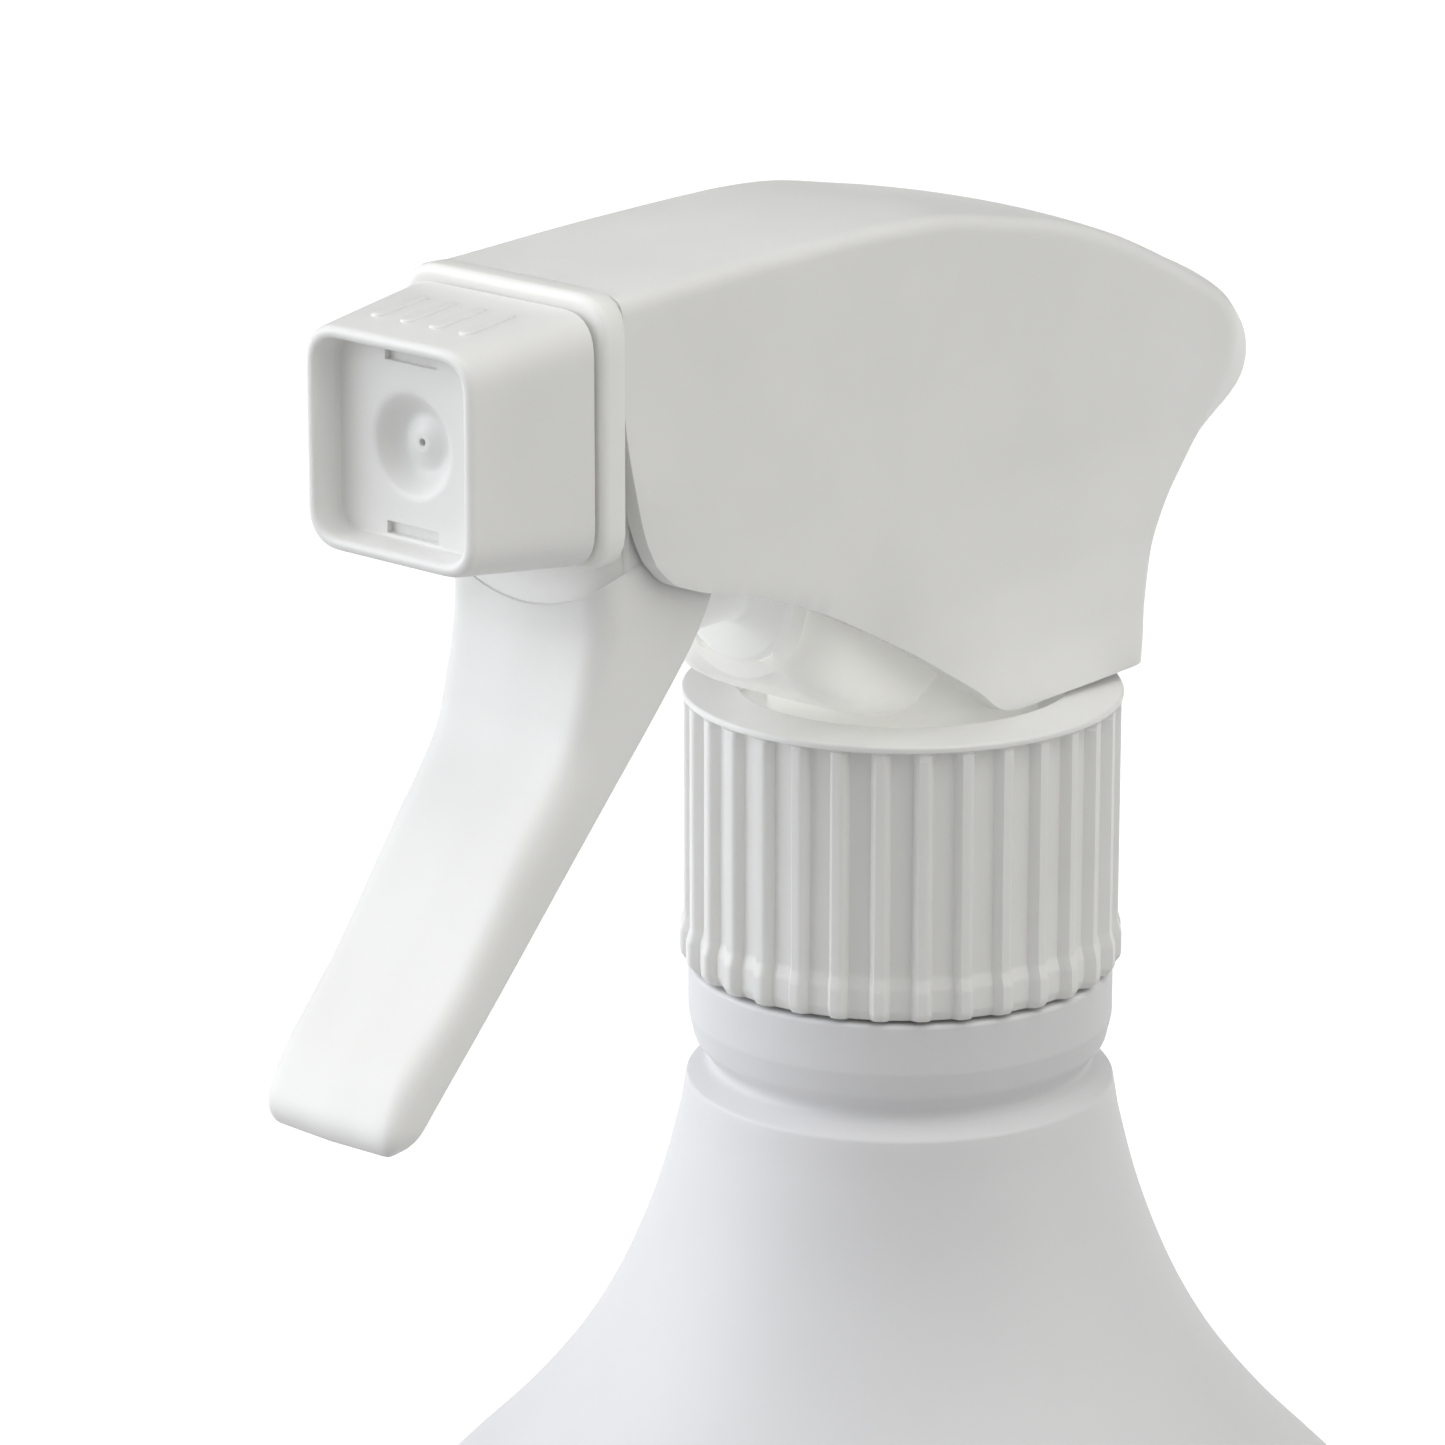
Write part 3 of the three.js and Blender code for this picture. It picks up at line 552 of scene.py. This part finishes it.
def ball_glass():
    # Soda-lime ball, tumbled: clear green-grey glass under a haze of fine scratches.
    material, tree, shader, where = started("soda_lime_glass_tumbled")
    haze = add(tree, "ShaderNodeTexNoise", {
        "Vector": where, "Scale": per_metre(0.4), "Detail": 4.0})
    gloss = add(tree, "ShaderNodeMapRange", {"Value": haze.outputs["Fac"], "To Min": 0.03, "To Max": 0.2})
    tint = add(tree, "ShaderNodeValToRGB", {"Fac": haze.outputs["Fac"]})
    tint.color_ramp.elements[0].color = linear("CFE0DA")
    tint.color_ramp.elements[1].color = linear("E2EDE9")
    tree.links.new(tint.outputs["Color"], shader.inputs["Base Color"])
    tree.links.new(gloss.outputs["Result"], shader.inputs["Roughness"])
    shader.inputs["Transmission Weight"].default_value = 1.0
    shader.inputs["IOR"].default_value = 1.52
    return material


WHITE_PP = white_polypropylene()
# Two copies of the natural polypropylene that differ only in their painted glow: a stronger one for the
# housing and a faint one for the collar.
NATURAL_PP = natural_polypropylene("natural_polypropylene_painted_glow", 0.16)
NATURAL_PP_FAINT_GLOW = natural_polypropylene("natural_polypropylene_faint_painted_glow", 0.02)
WHITE_PE = white_polyethylene()
CLEAR_PE = clear_polyethylene()


def dress_inner_nodes():
    """Give the CAD nodes that stay as they are their real materials."""
    steel = spring_steel()
    seal = seal_elastomer()
    finishes = {
        "closure_gasket": grey_foam(), "barrel_plug": WHITE_PP, "swirl_insert": white_acetal(),
        "outlet_valve": seal, "nozzle_seal": seal, "outlet_spring": steel, "piston_spring": steel,
        "intake_holder": NATURAL_PP, "intake_ball": ball_glass(), "dip_tube": CLEAR_PE,
        "dip_tube_strainer": WHITE_PP,
    }
    for node, finish in finishes.items():
        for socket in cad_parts[node].material_slots:
            socket.material = finish


# ---- Bottle and closure -------------------------------------------------------------------------
def thread(height, angle, start):
    """How far a thread's bead stands out at a height and an angle."""
    stand = 0.0
    for lap in range(math.ceil(THREAD_TURNS)):
        turns = angle / (2 * math.pi) + lap
        away = height - start - THREAD_PITCH * turns
        if turns <= THREAD_TURNS and abs(away) < THREAD_BEAD:
            fade = min(1.0, turns / 0.06, (THREAD_TURNS - turns) / 0.06)
            stand = math.sqrt(THREAD_BEAD**2 - away**2) * fade
    return stand


def rows(start, end, radius):
    """Points up a straight threaded wall, one row of faces apart."""
    count = round(abs(end - start) / THREAD_STEP)
    return [Vector((radius, start + (end - start) * k / count)) for k in range(count + 1)]


def bottle():
    shoulder = relaxed(evenly(curve(SHOULDER, 8), 70), 25)
    base = filleted([
        (0, BASE_Z + BASE_PUSH_UP, 0), (32, BASE_Z + BASE_PUSH_UP, 4), (35.5, BASE_Z, 1.5),
        (BODY_RADIUS, BASE_Z, 3.2), (BODY_RADIUS, BASE_Z + 12, 0)], 8)
    neck_foot = filleted([
        (16.8, -33.5, 0), (16.35, -30.75, 0.5), (14.3, -29.35, 0.9), (15.75, -27.6, 1.6),
        (NECK_RING_RADIUS, -25.6, 1.5), (NECK_RING_RADIUS, NECK_RING_Z, 0.35),
        (NECK_RADIUS, NECK_RING_Z, 0.3), (NECK_RADIUS, NECK_RING_Z + 1, 0)], 7)
    neck = rows(NECK_RING_Z + 1, MOUTH_Z - 1, NECK_RADIUS)
    mouth = filleted([
        (NECK_RADIUS, MOUTH_Z - 1, 0), (NECK_RADIUS, MOUTH_Z, 0.4), (MOUTH_RADIUS, MOUTH_Z, 0.3),
        (MOUTH_RADIUS, NECK_RING_Z, 2), (13, -27, 1), (13, -30.4, 2), (15.4, -34, 0)], 5)
    inside = [Vector((p.x - BOTTLE_WALL, p.y - BOTTLE_WALL / 3)) for p in reversed(shoulder[::4])]
    floor = [Vector((BODY_RADIUS - BOTTLE_WALL, BASE_Z + 5)), Vector((BODY_RADIUS - 4, BASE_Z + 2.4)),
             Vector((0, BASE_Z + 2.4))]
    profile = base + shoulder[:-1] + neck_foot[:-1] + neck[:-1] + mouth[:-1] + inside[1:] + floor

    def swell(radius, height, angle):
        on_neck = abs(radius - NECK_RADIUS) < 0.01
        return radius + (thread(height, angle, THREAD_START) if on_neck else 0.0)

    shape = turned(profile, BOTTLE_SIDES, swell=swell)
    place("bottle_shell", shape, WHITE_PE, "bottle", ["bottle"])


def rib_at(angle):
    """A rib's share of its full height at an angle round the closure."""
    pitch = 2 * math.pi / RIB_COUNT
    away = abs((angle - math.radians(RIB_PHASE) + pitch / 2) % pitch - pitch / 2) * CLOSURE_ROOT_RADIUS
    t = max(0.0, min(1.0, (RIB_FOOT_HALF - away) / (RIB_FOOT_HALF - RIB_TOP_HALF)))
    return t * t * (3 - 2 * t)


def closure():
    bead = CLOSURE_ROOT_RADIUS + CLOSURE_BULGE
    outside = filleted([
        (CLOSURE_HOLE_RADIUS, -1.5, 0), (CLOSURE_HOLE_RADIUS, CLOSURE_CROWN, 0.25),
        (CLOSURE_LIP_RADIUS, -0.02, 0.3), (CLOSURE_LIP_RADIUS, -0.5, 0.1),
        (CLOSURE_ROOT_RADIUS, -0.75, 0.1), (CLOSURE_ROOT_RADIUS, -1.2, 0.1),
        (CLOSURE_ROOT_RADIUS, -18, 1.2), (bead, -19, 1.2), (bead, -20.7, 0.8),
        (bead - 0.35, CLOSURE_BOTTOM, 0.35), (CLOSURE_BORE, CLOSURE_BOTTOM, 0.3),
        (CLOSURE_BORE, CLOSURE_BOTTOM + 1, 0)], 5)
    bore = rows(CLOSURE_BOTTOM + 1, -3, CLOSURE_BORE)
    top = [Vector((CLOSURE_BORE, -1.7)), Vector((CLOSURE_BORE - 0.3, -1.5))]

    def swell(radius, height, angle):
        if abs(radius - CLOSURE_BORE) < 0.01 and height > CLOSURE_BOTTOM + 1:
            return radius - thread(height, angle, THREAD_START - THREAD_PITCH / 2)
        if radius < CLOSURE_ROOT_RADIUS - 0.2 or height > -0.6:
            return radius
        top_fade = min(1.0, max(0.0, (-0.6 - height) / 0.15))
        foot_fade = min(1.0, max(0.0, (height - CLOSURE_BOTTOM) / 0.3))
        return radius + rib_at(angle) * RIB_HEIGHT * top_fade * math.sqrt(foot_fade)

    shape = turned(outside[:-1] + bore + top, RIB_COUNT * RIB_FACES, swell=swell, joined=True)
    place("closure_shell", shape, WHITE_PP, "closure", ["closure_cap"], 50)


# ---- Pump housing -------------------------------------------------------------------------------
def housing_piece(name, shape, material=NATURAL_PP):
    place(name, shape, material, "head", ["pump_housing"])


def housing_base():
    profile = filleted([
        (0, -3.2, 0), (13.7, -3.2, 0.2), (13.7, -1.85, 0.2), (10.2, -1.85, 0.2), (10.2, 0.7, 0.5),
        (9.8, 2.2, 1.5), (8.4, 4.2, 1.5), (6.8, 5.5, 2), (0, 6.6, 0)], 6)
    housing_piece("housing_base", turned(profile, 96))


def housing_cowl():
    centre = Vector((0, PUMP_Z))
    loops = [[(0, COWL_BACK_Y, PUMP_Z)]]
    for radius, y in ((PUMP_BORE, COWL_BACK_Y), (PUMP_BORE, -18.6), (PUMP_BORE + 0.15, -18.8),
                      (6.3, -18.8), (6.5, -18.6), (6.7, -18.6), (6.85, -18.85)):
        loops.append(at_y(circle(radius, centre, HOUSING_SIDES), y))
    stations = [(COWL_FRONT_Y, COWL_CORNER)]
    for k in range(1, 9):
        turn = math.pi / 2 * k / 8
        forward = COWL_CORNER * (1 - math.cos(turn))
        stations.append((COWL_FRONT_Y + forward, COWL_CORNER * (1 - math.sin(turn))))
    for y in (-13, -9, -6, -2, 3):
        stations.append((y, 0))
    for y, narrower in stations:
        low = height_on(COWL_BOTTOM, y) + 0.35 * narrower
        high = height_on(COWL_TOP, y) - 0.35 * narrower
        outline = rounded_box(COWL_HALF - narrower, low, high, max(0.8, 2.5 - narrower))
        loops.append(at_y(by_angle(outline, centre, HOUSING_SIDES), y))
    housing_piece("housing_cowl", skin(loops))


def housing_collar():
    centre = Vector((0, BARREL_Z))
    hole = circle(4, centre, HOUSING_SIDES)
    loops = [at_y(hole, -40.7), at_y(hole, COLLAR_FRONT_Y)]
    low = BARREL_Z - COLLAR_DROP
    for shrink, y in ((0.75, COLLAR_FRONT_Y), (0.3, COLLAR_FRONT_Y + 0.08), (0.08, COLLAR_FRONT_Y + 0.3),
                      (0.0, COLLAR_FRONT_Y + 0.6), (0.0, -41.2), (0.1, -41.0), (0.3, COLLAR_REAR_Y)):
        outline = rounded_box(COLLAR_HALF - shrink, low + shrink, COLLAR_TOP - shrink,
                              COLLAR_CORNER - shrink)
        loops.append(at_y(by_angle(outline, centre, HOUSING_SIDES), y))
    # The collar gets the copy with only a faint painted glow.
    housing_piece("housing_collar", skin(loops, joined=True), NATURAL_PP_FAINT_GLOW)


def housing_barrel():
    profile = filleted([
        (BARREL_BORE, -10, 0), (BARREL_BORE, BARREL_FRONT_Y, 0.2), (BARREL_RADIUS, BARREL_FRONT_Y, 0.3),
        (BARREL_RADIUS, BARREL_REAR_Y, 0.3), (BARREL_BORE, BARREL_REAR_Y, 0.2), (BARREL_BORE, 0, 0)], 4)
    housing_piece("housing_barrel", turned(profile, 64, "y", (0, BARREL_Z), joined=True))
    riser = [Vector(p) for p in ((0, 4), (4.8, 4), (4.8, 28.4), (0, 28.4))]
    housing_piece("housing_riser", turned(riser, 48))
    web = filleted([(-17, 17.5, 0.5), (-17, 25, 0.5), (-2, 25, 0.5), (-2, 17.5, 0.5)], 3, closed=True)
    housing_piece("housing_web", plate(web, -1, 1, 0.15))
    for side, name in ((1, "right"), (-1, "left")):
        boss = filleted([
            (0, 2.5, 0), (3.2, 2.5, 0), (3.2, 6, 0.25), (1.7, 6, 0.2), (1.7, 3.3, 0), (0, 3.3, 0)], 4)
        boss = [Vector((p.x, side * p.y)) for p in boss]
        housing_piece(f"housing_pivot_{name}", turned(boss, 40, "x", (PIVOT_Y, BARREL_Z)))


def piston():
    lip = PUMP_BORE - 0.12
    profile = filleted([
        (0, -35.2, 0), (2.2, -35.0, 0.9), (2.2, -19.6, 0.6), (lip - 0.4, -19.35, 0.3), (lip, -18.9, 0.2),
        (lip, -14.8, 0.2), (lip - 0.6, -14.8, 0.2), (lip - 0.6, -18.6, 0.3), (0, -18.6, 0)], 6)
    shape = turned(profile, 64, "y", (0, PUMP_Z))
    place("piston_cup_and_rod", shape, CLEAR_PE, "piston", ["piston"])


# ---- Shroud -------------------------------------------------------------------------------------
def shroud_half_width(y, z):
    """How far the side panel stands from the middle plane."""
    plan = height_on(SHROUD_PLAN, y)
    front = height_on(SHROUD_FRONT, z)
    soft = SHROUD_SOFTNESS
    width = -soft * math.log(math.exp(-plan / soft) + math.exp(-front / soft)) + soft * 0.1
    along = (y - SHROUD_FLARE_PLACE[0]) / SHROUD_FLARE_SPREAD[0]
    up = (z - SHROUD_FLARE_PLACE[1]) / SHROUD_FLARE_SPREAD[1]
    return width + SHROUD_FLARE * math.exp(-along ** 2 - up ** 2)


def shroud():
    crease = relaxed(evenly(curve(SHROUD_CREASE, 8), SHROUD_ROWS), 4)
    middle = relaxed(curve(SHROUD_MIDDLE, 8), 6)
    shares = crease_shares(crease)
    lower = evenly(curve(SHROUD_LOWER, 8), SHROUD_ROWS)
    seam = evenly(curve(SHROUD_SEAM, 8), SHROUD_COLUMNS)
    rear = [crease[-1].lerp(lower[-1], k / SHROUD_COLUMNS) for k in range(SHROUD_COLUMNS + 1)]
    rows_of_points = []
    for i in range(SHROUD_ROWS + 1):
        s = i / SHROUD_ROWS
        position = shares[i] * (len(middle) - 1)
        k = min(int(position), len(middle) - 2)
        centre = middle[k].lerp(middle[k + 1], position - k)
        panel = []
        for j in range(SHROUD_COLUMNS + 1):
            v = j / SHROUD_COLUMNS
            ruled = crease[i].lerp(lower[i], v) + seam[j].lerp(rear[j], s)
            corners = crease[0].lerp(lower[0], v).lerp(crease[-1].lerp(lower[-1], v), s)
            y, z = ruled - corners
            panel.append(Vector((shroud_half_width(y, z), y, z)))
        rows_of_points.append(shroud_row(panel, centre))
    shape = bmesh.new()
    grid = [[shape.verts.new(point) for point in row] for row in rows_of_points]
    for first, second in zip(grid, grid[1:]):
        for a, b, c, d in zip(first, first[1:], second[1:], second):
            shape.faces.new((a, b, c, d))
    bmesh.ops.recalc_face_normals(shape, faces=shape.faces)
    made = to_object(shape, "shroud_skin")
    wall = made.modifiers.new("wall", "SOLIDIFY")
    wall.thickness = SHROUD_WALL
    wall.offset = -1
    wall.use_even_offset = True
    rim = made.modifiers.new("rim", "BEVEL")
    rim.width = 0.3
    rim.segments = 3
    rim.limit_method = "ANGLE"
    rim.angle_limit = math.radians(50)
    place("shroud_shell", finished(made), WHITE_PP, "head", ["shroud"], 60)


def crease_shares(crease):
    """For each row, the share of the listed points passed, which keeps crease and middle in step."""
    listed = [Vector(p) for p in SHROUD_CREASE]
    count = len(listed)
    shares = []
    k = 0
    for point in crease:
        while k < count - 2 and (point - listed[k + 1]).dot(listed[k + 1] - listed[k]) > 0:
            k += 1
        step = listed[k + 1] - listed[k]
        part = max(0.0, min(1.0, (point - listed[k]).dot(step) / step.length_squared))
        shares.append((k + part) / (count - 1))
    return shares


def shroud_row(panel, centre):
    """One row of the skin: up a side panel, round the crease, over the top and down the other panel."""
    edge = panel[0]
    top = []
    for k in range(1, 13):
        x = edge.x * (1 - k / 12)
        lift = 1 - (x / edge.x) ** 2
        y, z = Vector((edge.y, edge.z)).lerp(centre, lift)
        top.append(Vector((x, y, z)))
    length = sum((a - b).length for a, b in zip(panel, panel[1:]))
    reach = min(SHROUD_CORNER, 0.3 * length)
    side_point, panel_rest = step_along(panel, reach)
    top_point, top_rest = step_along([edge] + top, reach)
    corner = []
    for k in range(9):
        t = k / 8
        corner.append(side_point * (1 - t) ** 2 + edge * 2 * t * (1 - t) + top_point * t**2)
    half = evenly(list(reversed(panel_rest)), 20)[:-1] + corner + evenly(top_rest, 10)[1:]
    other = [Vector((-p.x, p.y, p.z)) for p in reversed(half[:-1])]
    return half + other


def step_along(points, distance):
    """The point a distance along a line, and the rest of the line from there."""
    left = distance
    for i, (a, b) in enumerate(zip(points, points[1:])):
        length = (b - a).length
        if left <= length:
            point = a.lerp(b, left / length)
            return point, [point] + points[i + 1:]
        left -= length
    return points[-1], points[-1:]


# ---- Trigger ------------------------------------------------------------------------------------
def trigger_piece(name, shape):
    place(name, shape, WHITE_PP, "trigger", ["trigger"])


def trigger_lever():
    stations = curve(TRIGGER_STATIONS, TRIGGER_STEPS)
    loops = []
    for i, station in enumerate(stations):
        front = Vector((station[0], station[1]))
        back = Vector((station[2], station[3]))
        half = station[4]
        depth = (back - front).length
        along = (back - front).normalized()
        from_top = i / TRIGGER_STEPS
        to_tip = (len(stations) - 1 - i) / TRIGGER_STEPS
        ledge = TRIGGER_LEDGE * max(0.0, 1 - from_top / 1.5)
        closing = max(0.0, 1 - max(0.0, to_tip - 1.5) / 1.5)
        wall = min(depth - 0.02, TRIGGER_FRONT_WALL + ledge + closing * depth)
        corner = min(TRIGGER_CORNER, 0.65 * depth)
        rim = min(0.4, 0.15 * depth)
        section = filleted([
            (0, 0, 0), (0.25, half, corner), (depth, half, rim), (depth, half - TRIGGER_WALL, rim),
            (wall, half - TRIGGER_WALL, min(0.9, 0.45 * (depth - wall))), (wall, 0, 0)], 7)
        front_face = [section[0].lerp(section[1], k / 6) for k in range(6)]
        back_face = [section[-2].lerp(section[-1], k / 6) for k in range(1, 7)]
        section = front_face + section[1:-1] + back_face
        outline = section + [Vector((p.x, -p.y)) for p in reversed(section[1:-1])]
        arc = max(0.0, 1 - from_top / 2.5) ** 2
        loop = []
        for p in outline:
            y, z = front + along * p.x
            rise = TRIGGER_ARC_RADIUS - math.sqrt(TRIGGER_ARC_RADIUS**2 - p.y**2)
            loop.append((p.y, y, z + arc * rise))
        loops.append(loop)
    trigger_piece("trigger_lever", skin(loops))


def trigger_ledge():
    """The sloping face behind the lever's curved top edge, under the nozzle."""
    loops = []
    lever_half = TRIGGER_STATIONS[0][4]
    for k in range(LEDGE_STEPS + 1):
        x = -LEDGE_HALF + 2 * LEDGE_HALF * k / LEDGE_STEPS
        corner = max(0.0, abs(x) - lever_half + TRIGGER_CORNER)
        front = LEDGE_FRONT_Y + TRIGGER_CORNER - math.sqrt(TRIGGER_CORNER**2 - corner**2)
        edge = LEDGE_EDGE_Z + TRIGGER_ARC_RADIUS - math.sqrt(TRIGGER_ARC_RADIUS**2 - x**2)
        slope_top = max(LEDGE_SLOPE_TOP_Z, edge + 0.2)
        section = [(0, LEDGE_BOTTOM_Z), (0, edge - 0.3), (0.15, edge), (1.2, slope_top - 0.3),
                   (1.4, LEDGE_TOP_Z - 0.3), (1.7, LEDGE_TOP_Z), (2.6, LEDGE_TOP_Z), (2.6, LEDGE_BOTTOM_Z)]
        loops.append([(x, front + behind, z) for behind, z in section])
    trigger_piece("trigger_ledge", skin(loops))


def trigger_arms():
    top = []
    for k in range(25):
        turn = math.pi * (1 - k / 24)
        top.append(Vector((PIVOT_Y + ARM_RADIUS * math.cos(turn), BARREL_Z + ARM_RADIUS * math.sin(turn))))
    front = filleted([(-39, 15, 0), (-39, 19.3, 0.8), (-38.5, 24, 2), (-37.9, 28.4, 0)], 4)
    outline = front[:-1] + top + [Vector((-29.1, 20)), Vector((-29.4, 15))]
    for side, name in ((1, "right"), (-1, "left")):
        low, high = sorted((side * ARM_INSIDE, side * ARM_OUTSIDE))
        trigger_piece(f"trigger_arm_{name}", plate(outline, low, high, 0.2))
        pin = filleted([
            (0, PIN_START, 0), (PIN_RADIUS, PIN_START, 0.3), (PIN_RADIUS, PIN_END, 0), (0, PIN_END, 0)], 4)
        pin = [Vector((p.x, side * p.y)) for p in pin]
        trigger_piece(f"trigger_pin_{name}", turned(pin, 32, "x", (PIVOT_Y, BARREL_Z)))
    rib = filleted([(-41, 7.5, 0), (-41, 14.2, 0), (-35.7, 14.2, 0.8), (-35.7, 9.5, 0.8)], 4, closed=True)
    trigger_piece("trigger_push_rib", plate(rib, -1.3, 1.3, 0.2))


# ---- Nozzle -------------------------------------------------------------------------------------
def nozzle():
    centre = Vector((0, BARREL_Z))
    sides = 128

    def square(half, corner, y):
        outline = rounded_box(half, BARREL_Z - half, BARREL_Z + half, corner, 10)
        return at_y(by_angle(outline, centre, sides), y)

    def ring(radius, y):
        return at_y(circle(radius, centre, sides), y)

    def skirt(share):
        return NOZZLE_BACK_HALF + (NOZZLE_FRONT_HALF - NOZZLE_BACK_HALF) * share

    loops = [
        ring(0.25, WEB_BACK_Y + 0.35), ring(0.25, -51.12), ring(0.32, -51.2), ring(0.62, -51.22),
        ring(0.75, -51.18), ring(1.1, -51.0), ring(1.6, -50.78), ring(1.95, -50.7), ring(2.25, -50.76),
        ring(2.7, -51.1), ring(3.2, -51.7), ring(3.5, -52.02), ring(3.75, -52.16), ring(4.1, RECESS_Y),
        square(6.75, 1.7, RECESS_Y), square(6.9, 1.85, RECESS_Y - 0.06), square(6.98, 1.95, RECESS_Y - 0.2),
        square(7.03, 2.05, RECESS_Y - 0.6), square(7.1, 2.2, -54.2), square(7.16, 2.25, -54.42),
        square(7.3, 2.35, -54.56), square(7.46, 2.5, NOZZLE_FRONT_Y), square(7.6, 2.7, NOZZLE_FRONT_Y),
        square(7.82, 2.85, -54.52),
        square(7.95, 2.95, -54.35), square(skirt(0.96), NOZZLE_CORNER, -54.05), square(skirt(0.5), 3, -49),
        square(skirt(0.03), 3, -43.75), square(NOZZLE_BACK_HALF - 0.04, 3, -43.55),
        square(NOZZLE_BACK_HALF - 0.2, 2.85, NOZZLE_BACK_Y), square(8.1, 2, NOZZLE_BACK_Y),
        square(7.95, 1.8, NOZZLE_BACK_Y - 0.15), square(6.9, 1.8, WEB_BACK_Y + 0.3),
        square(6.7, 1.6, WEB_BACK_Y), ring(5.9, WEB_BACK_Y), ring(5.9, -43.7), ring(5.7, -43.5),
        ring(4.8, -43.5), ring(4.6, -43.7), ring(4.6, -50.4), ring(1.2, -50.4), ring(1.0, WEB_BACK_Y + 0.2),
    ]
    shape = skin(loops, joined=True)
    slots = []
    for height in SLOT_HEIGHTS:
        low = BARREL_Z + height - SLOT_HALF_HEIGHT
        high = BARREL_Z + height + SLOT_HALF_HEIGHT
        outline = [Vector((SLOT_FRONT_Y, low)), Vector((SLOT_FRONT_Y, high)),
                   Vector((SLOT_FLOOR_Y, high)), Vector((SLOT_FLOOR_Y, low))]
        slots.append(plate(outline, -SLOT_HALF_WIDTH, SLOT_HALF_WIDTH, 0.01))
    shell = carved(shape, slots)
    place("nozzle_shell", shell, WHITE_PP, "nozzle", ["nozzle_cap"], 34)


def nozzle_marks():
    """Plain raised bars on the cap's top, where such a cap shows which way it is turned."""
    for k, x in enumerate(MARK_PLACES):
        outline = rounded_box(0.55, -51.5, -46.5, 0.5, 5)
        loops = []
        for height, shrink in ((-0.2, 0.0), (0.08, 0.0), (0.16, 0.1), (0.18, 0.25)):
            loop = []
            for p in inset(outline, shrink) if shrink else outline:
                share = (p.y - NOZZLE_BACK_Y) / (NOZZLE_FRONT_Y - NOZZLE_BACK_Y)
                top = BARREL_Z + NOZZLE_BACK_HALF + (NOZZLE_FRONT_HALF - NOZZLE_BACK_HALF) * share
                loop.append((x + p.x, p.y, top + height))
            loops.append(loop)
        name = f"nozzle_mark_{k + 1}"
        place(name, skin(loops), WHITE_PP, "nozzle", ["nozzle_cap"], 60)


# ---- Setting ------------------------------------------------------------------------------------
def floor():
    shape = bmesh.new()
    corners = [shape.verts.new((x, y, 0)) for x, y in ((-1, -1), (1, -1), (1, 1), (-1, 1))]
    for vert in corners:
        vert.co = vert.co * FLOOR_REACH
    shape.faces.new(corners)
    made = to_object(shape, "floor")
    material, tree, shader, where = started("matt_white_paper_sweep_painted_light")
    shader.inputs["Base Color"].default_value = linear("B8B8B8")
    shader.inputs["Roughness"].default_value = 0.9
    # Painted light: the sweep glows by emission, from none near the object up to full strength where it lies
    # 0.33 m along AWAY, so that end shows as a white backdrop.
    shader.inputs["Emission Color"].default_value = (1.0, 1.0, 1.0, 1.0)
    behind = add(tree, "ShaderNodeVectorMath", {0: where, 1: AWAY}, operation="DOT_PRODUCT")
    painted_light = add(tree, "ShaderNodeMapRange", {
        "Value": behind.outputs["Value"], "From Min": PAINTED_LIGHT_FROM, "From Max": PAINTED_LIGHT_FULL, "To Min": 0.0,
        "To Max": PAINTED_LIGHT_STRENGTH},
        interpolation_type="SMOOTHSTEP")
    tree.links.new(painted_light.outputs["Result"], shader.inputs["Emission Strength"])
    made.data.materials.append(material)


def studio():
    """Broad soft lights at the left, front, right and top, over an even fill."""
    world = bpy.data.worlds.new("soft_studio")
    bpy.context.scene.world = world
    world.use_nodes = True
    tree = world.node_tree
    where = add(tree, "ShaderNodeTexCoord", {})
    total = add(tree, "ShaderNodeCombineXYZ", {"X": FILL, "Y": FILL, "Z": FILL})
    for direction, strength, tightness, colour in SOFT_LIGHTS:
        aim = tuple(Vector(direction).normalized())
        facing = add(tree, "ShaderNodeVectorMath", {
            0: where.outputs["Generated"], 1: aim}, operation="DOT_PRODUCT")
        towards = add(tree, "ShaderNodeMath", {0: facing.outputs["Value"], 1: 0.0}, operation="MAXIMUM")
        lobe = add(tree, "ShaderNodeMath", {0: towards.outputs[0], 1: tightness}, operation="POWER")
        peak = strength * (tightness + 2) / 2
        part = add(tree, "ShaderNodeVectorMath", {
            0: tuple(peak * c for c in colour), "Scale": lobe.outputs[0]}, operation="SCALE")
        total = add(tree, "ShaderNodeVectorMath", {
            0: total.outputs[0], 1: part.outputs[0]}, operation="ADD")
    background = tree.nodes["Background"]
    tree.links.new(total.outputs[0], background.inputs["Color"])
    background.inputs["Strength"].default_value = 1.0


def camera():
    azimuth = math.radians(CAMERA_AZIMUTH)
    elevation = math.radians(CAMERA_ELEVATION)
    right = Vector((math.cos(azimuth), math.sin(azimuth), 0))
    back = Vector((math.sin(azimuth) * math.cos(elevation), -math.cos(azimuth) * math.cos(elevation),
                   math.sin(elevation)))
    up = back.cross(right)
    lens = bpy.data.cameras.new("view")
    lens.lens = CAMERA_LENS
    lens.sensor_width = 36
    lens.clip_end = 100
    made = bpy.data.objects.new("view", lens)
    bpy.context.scene.collection.objects.link(made)
    turn = Matrix((right, up, back)).transposed().to_4x4()
    made.matrix_world = Matrix.Translation(CAMERA_PLACE) @ turn
    bpy.context.scene.camera = made


camera()
floor()
studio()
dress_inner_nodes()
bottle()
closure()
housing_base()
housing_cowl()
housing_collar()
housing_barrel()
piston()
shroud()
trigger_lever()
trigger_ledge()
trigger_arms()
nozzle()
nozzle_marks()
bpy.context.scene.view_settings.view_transform = "Standard"
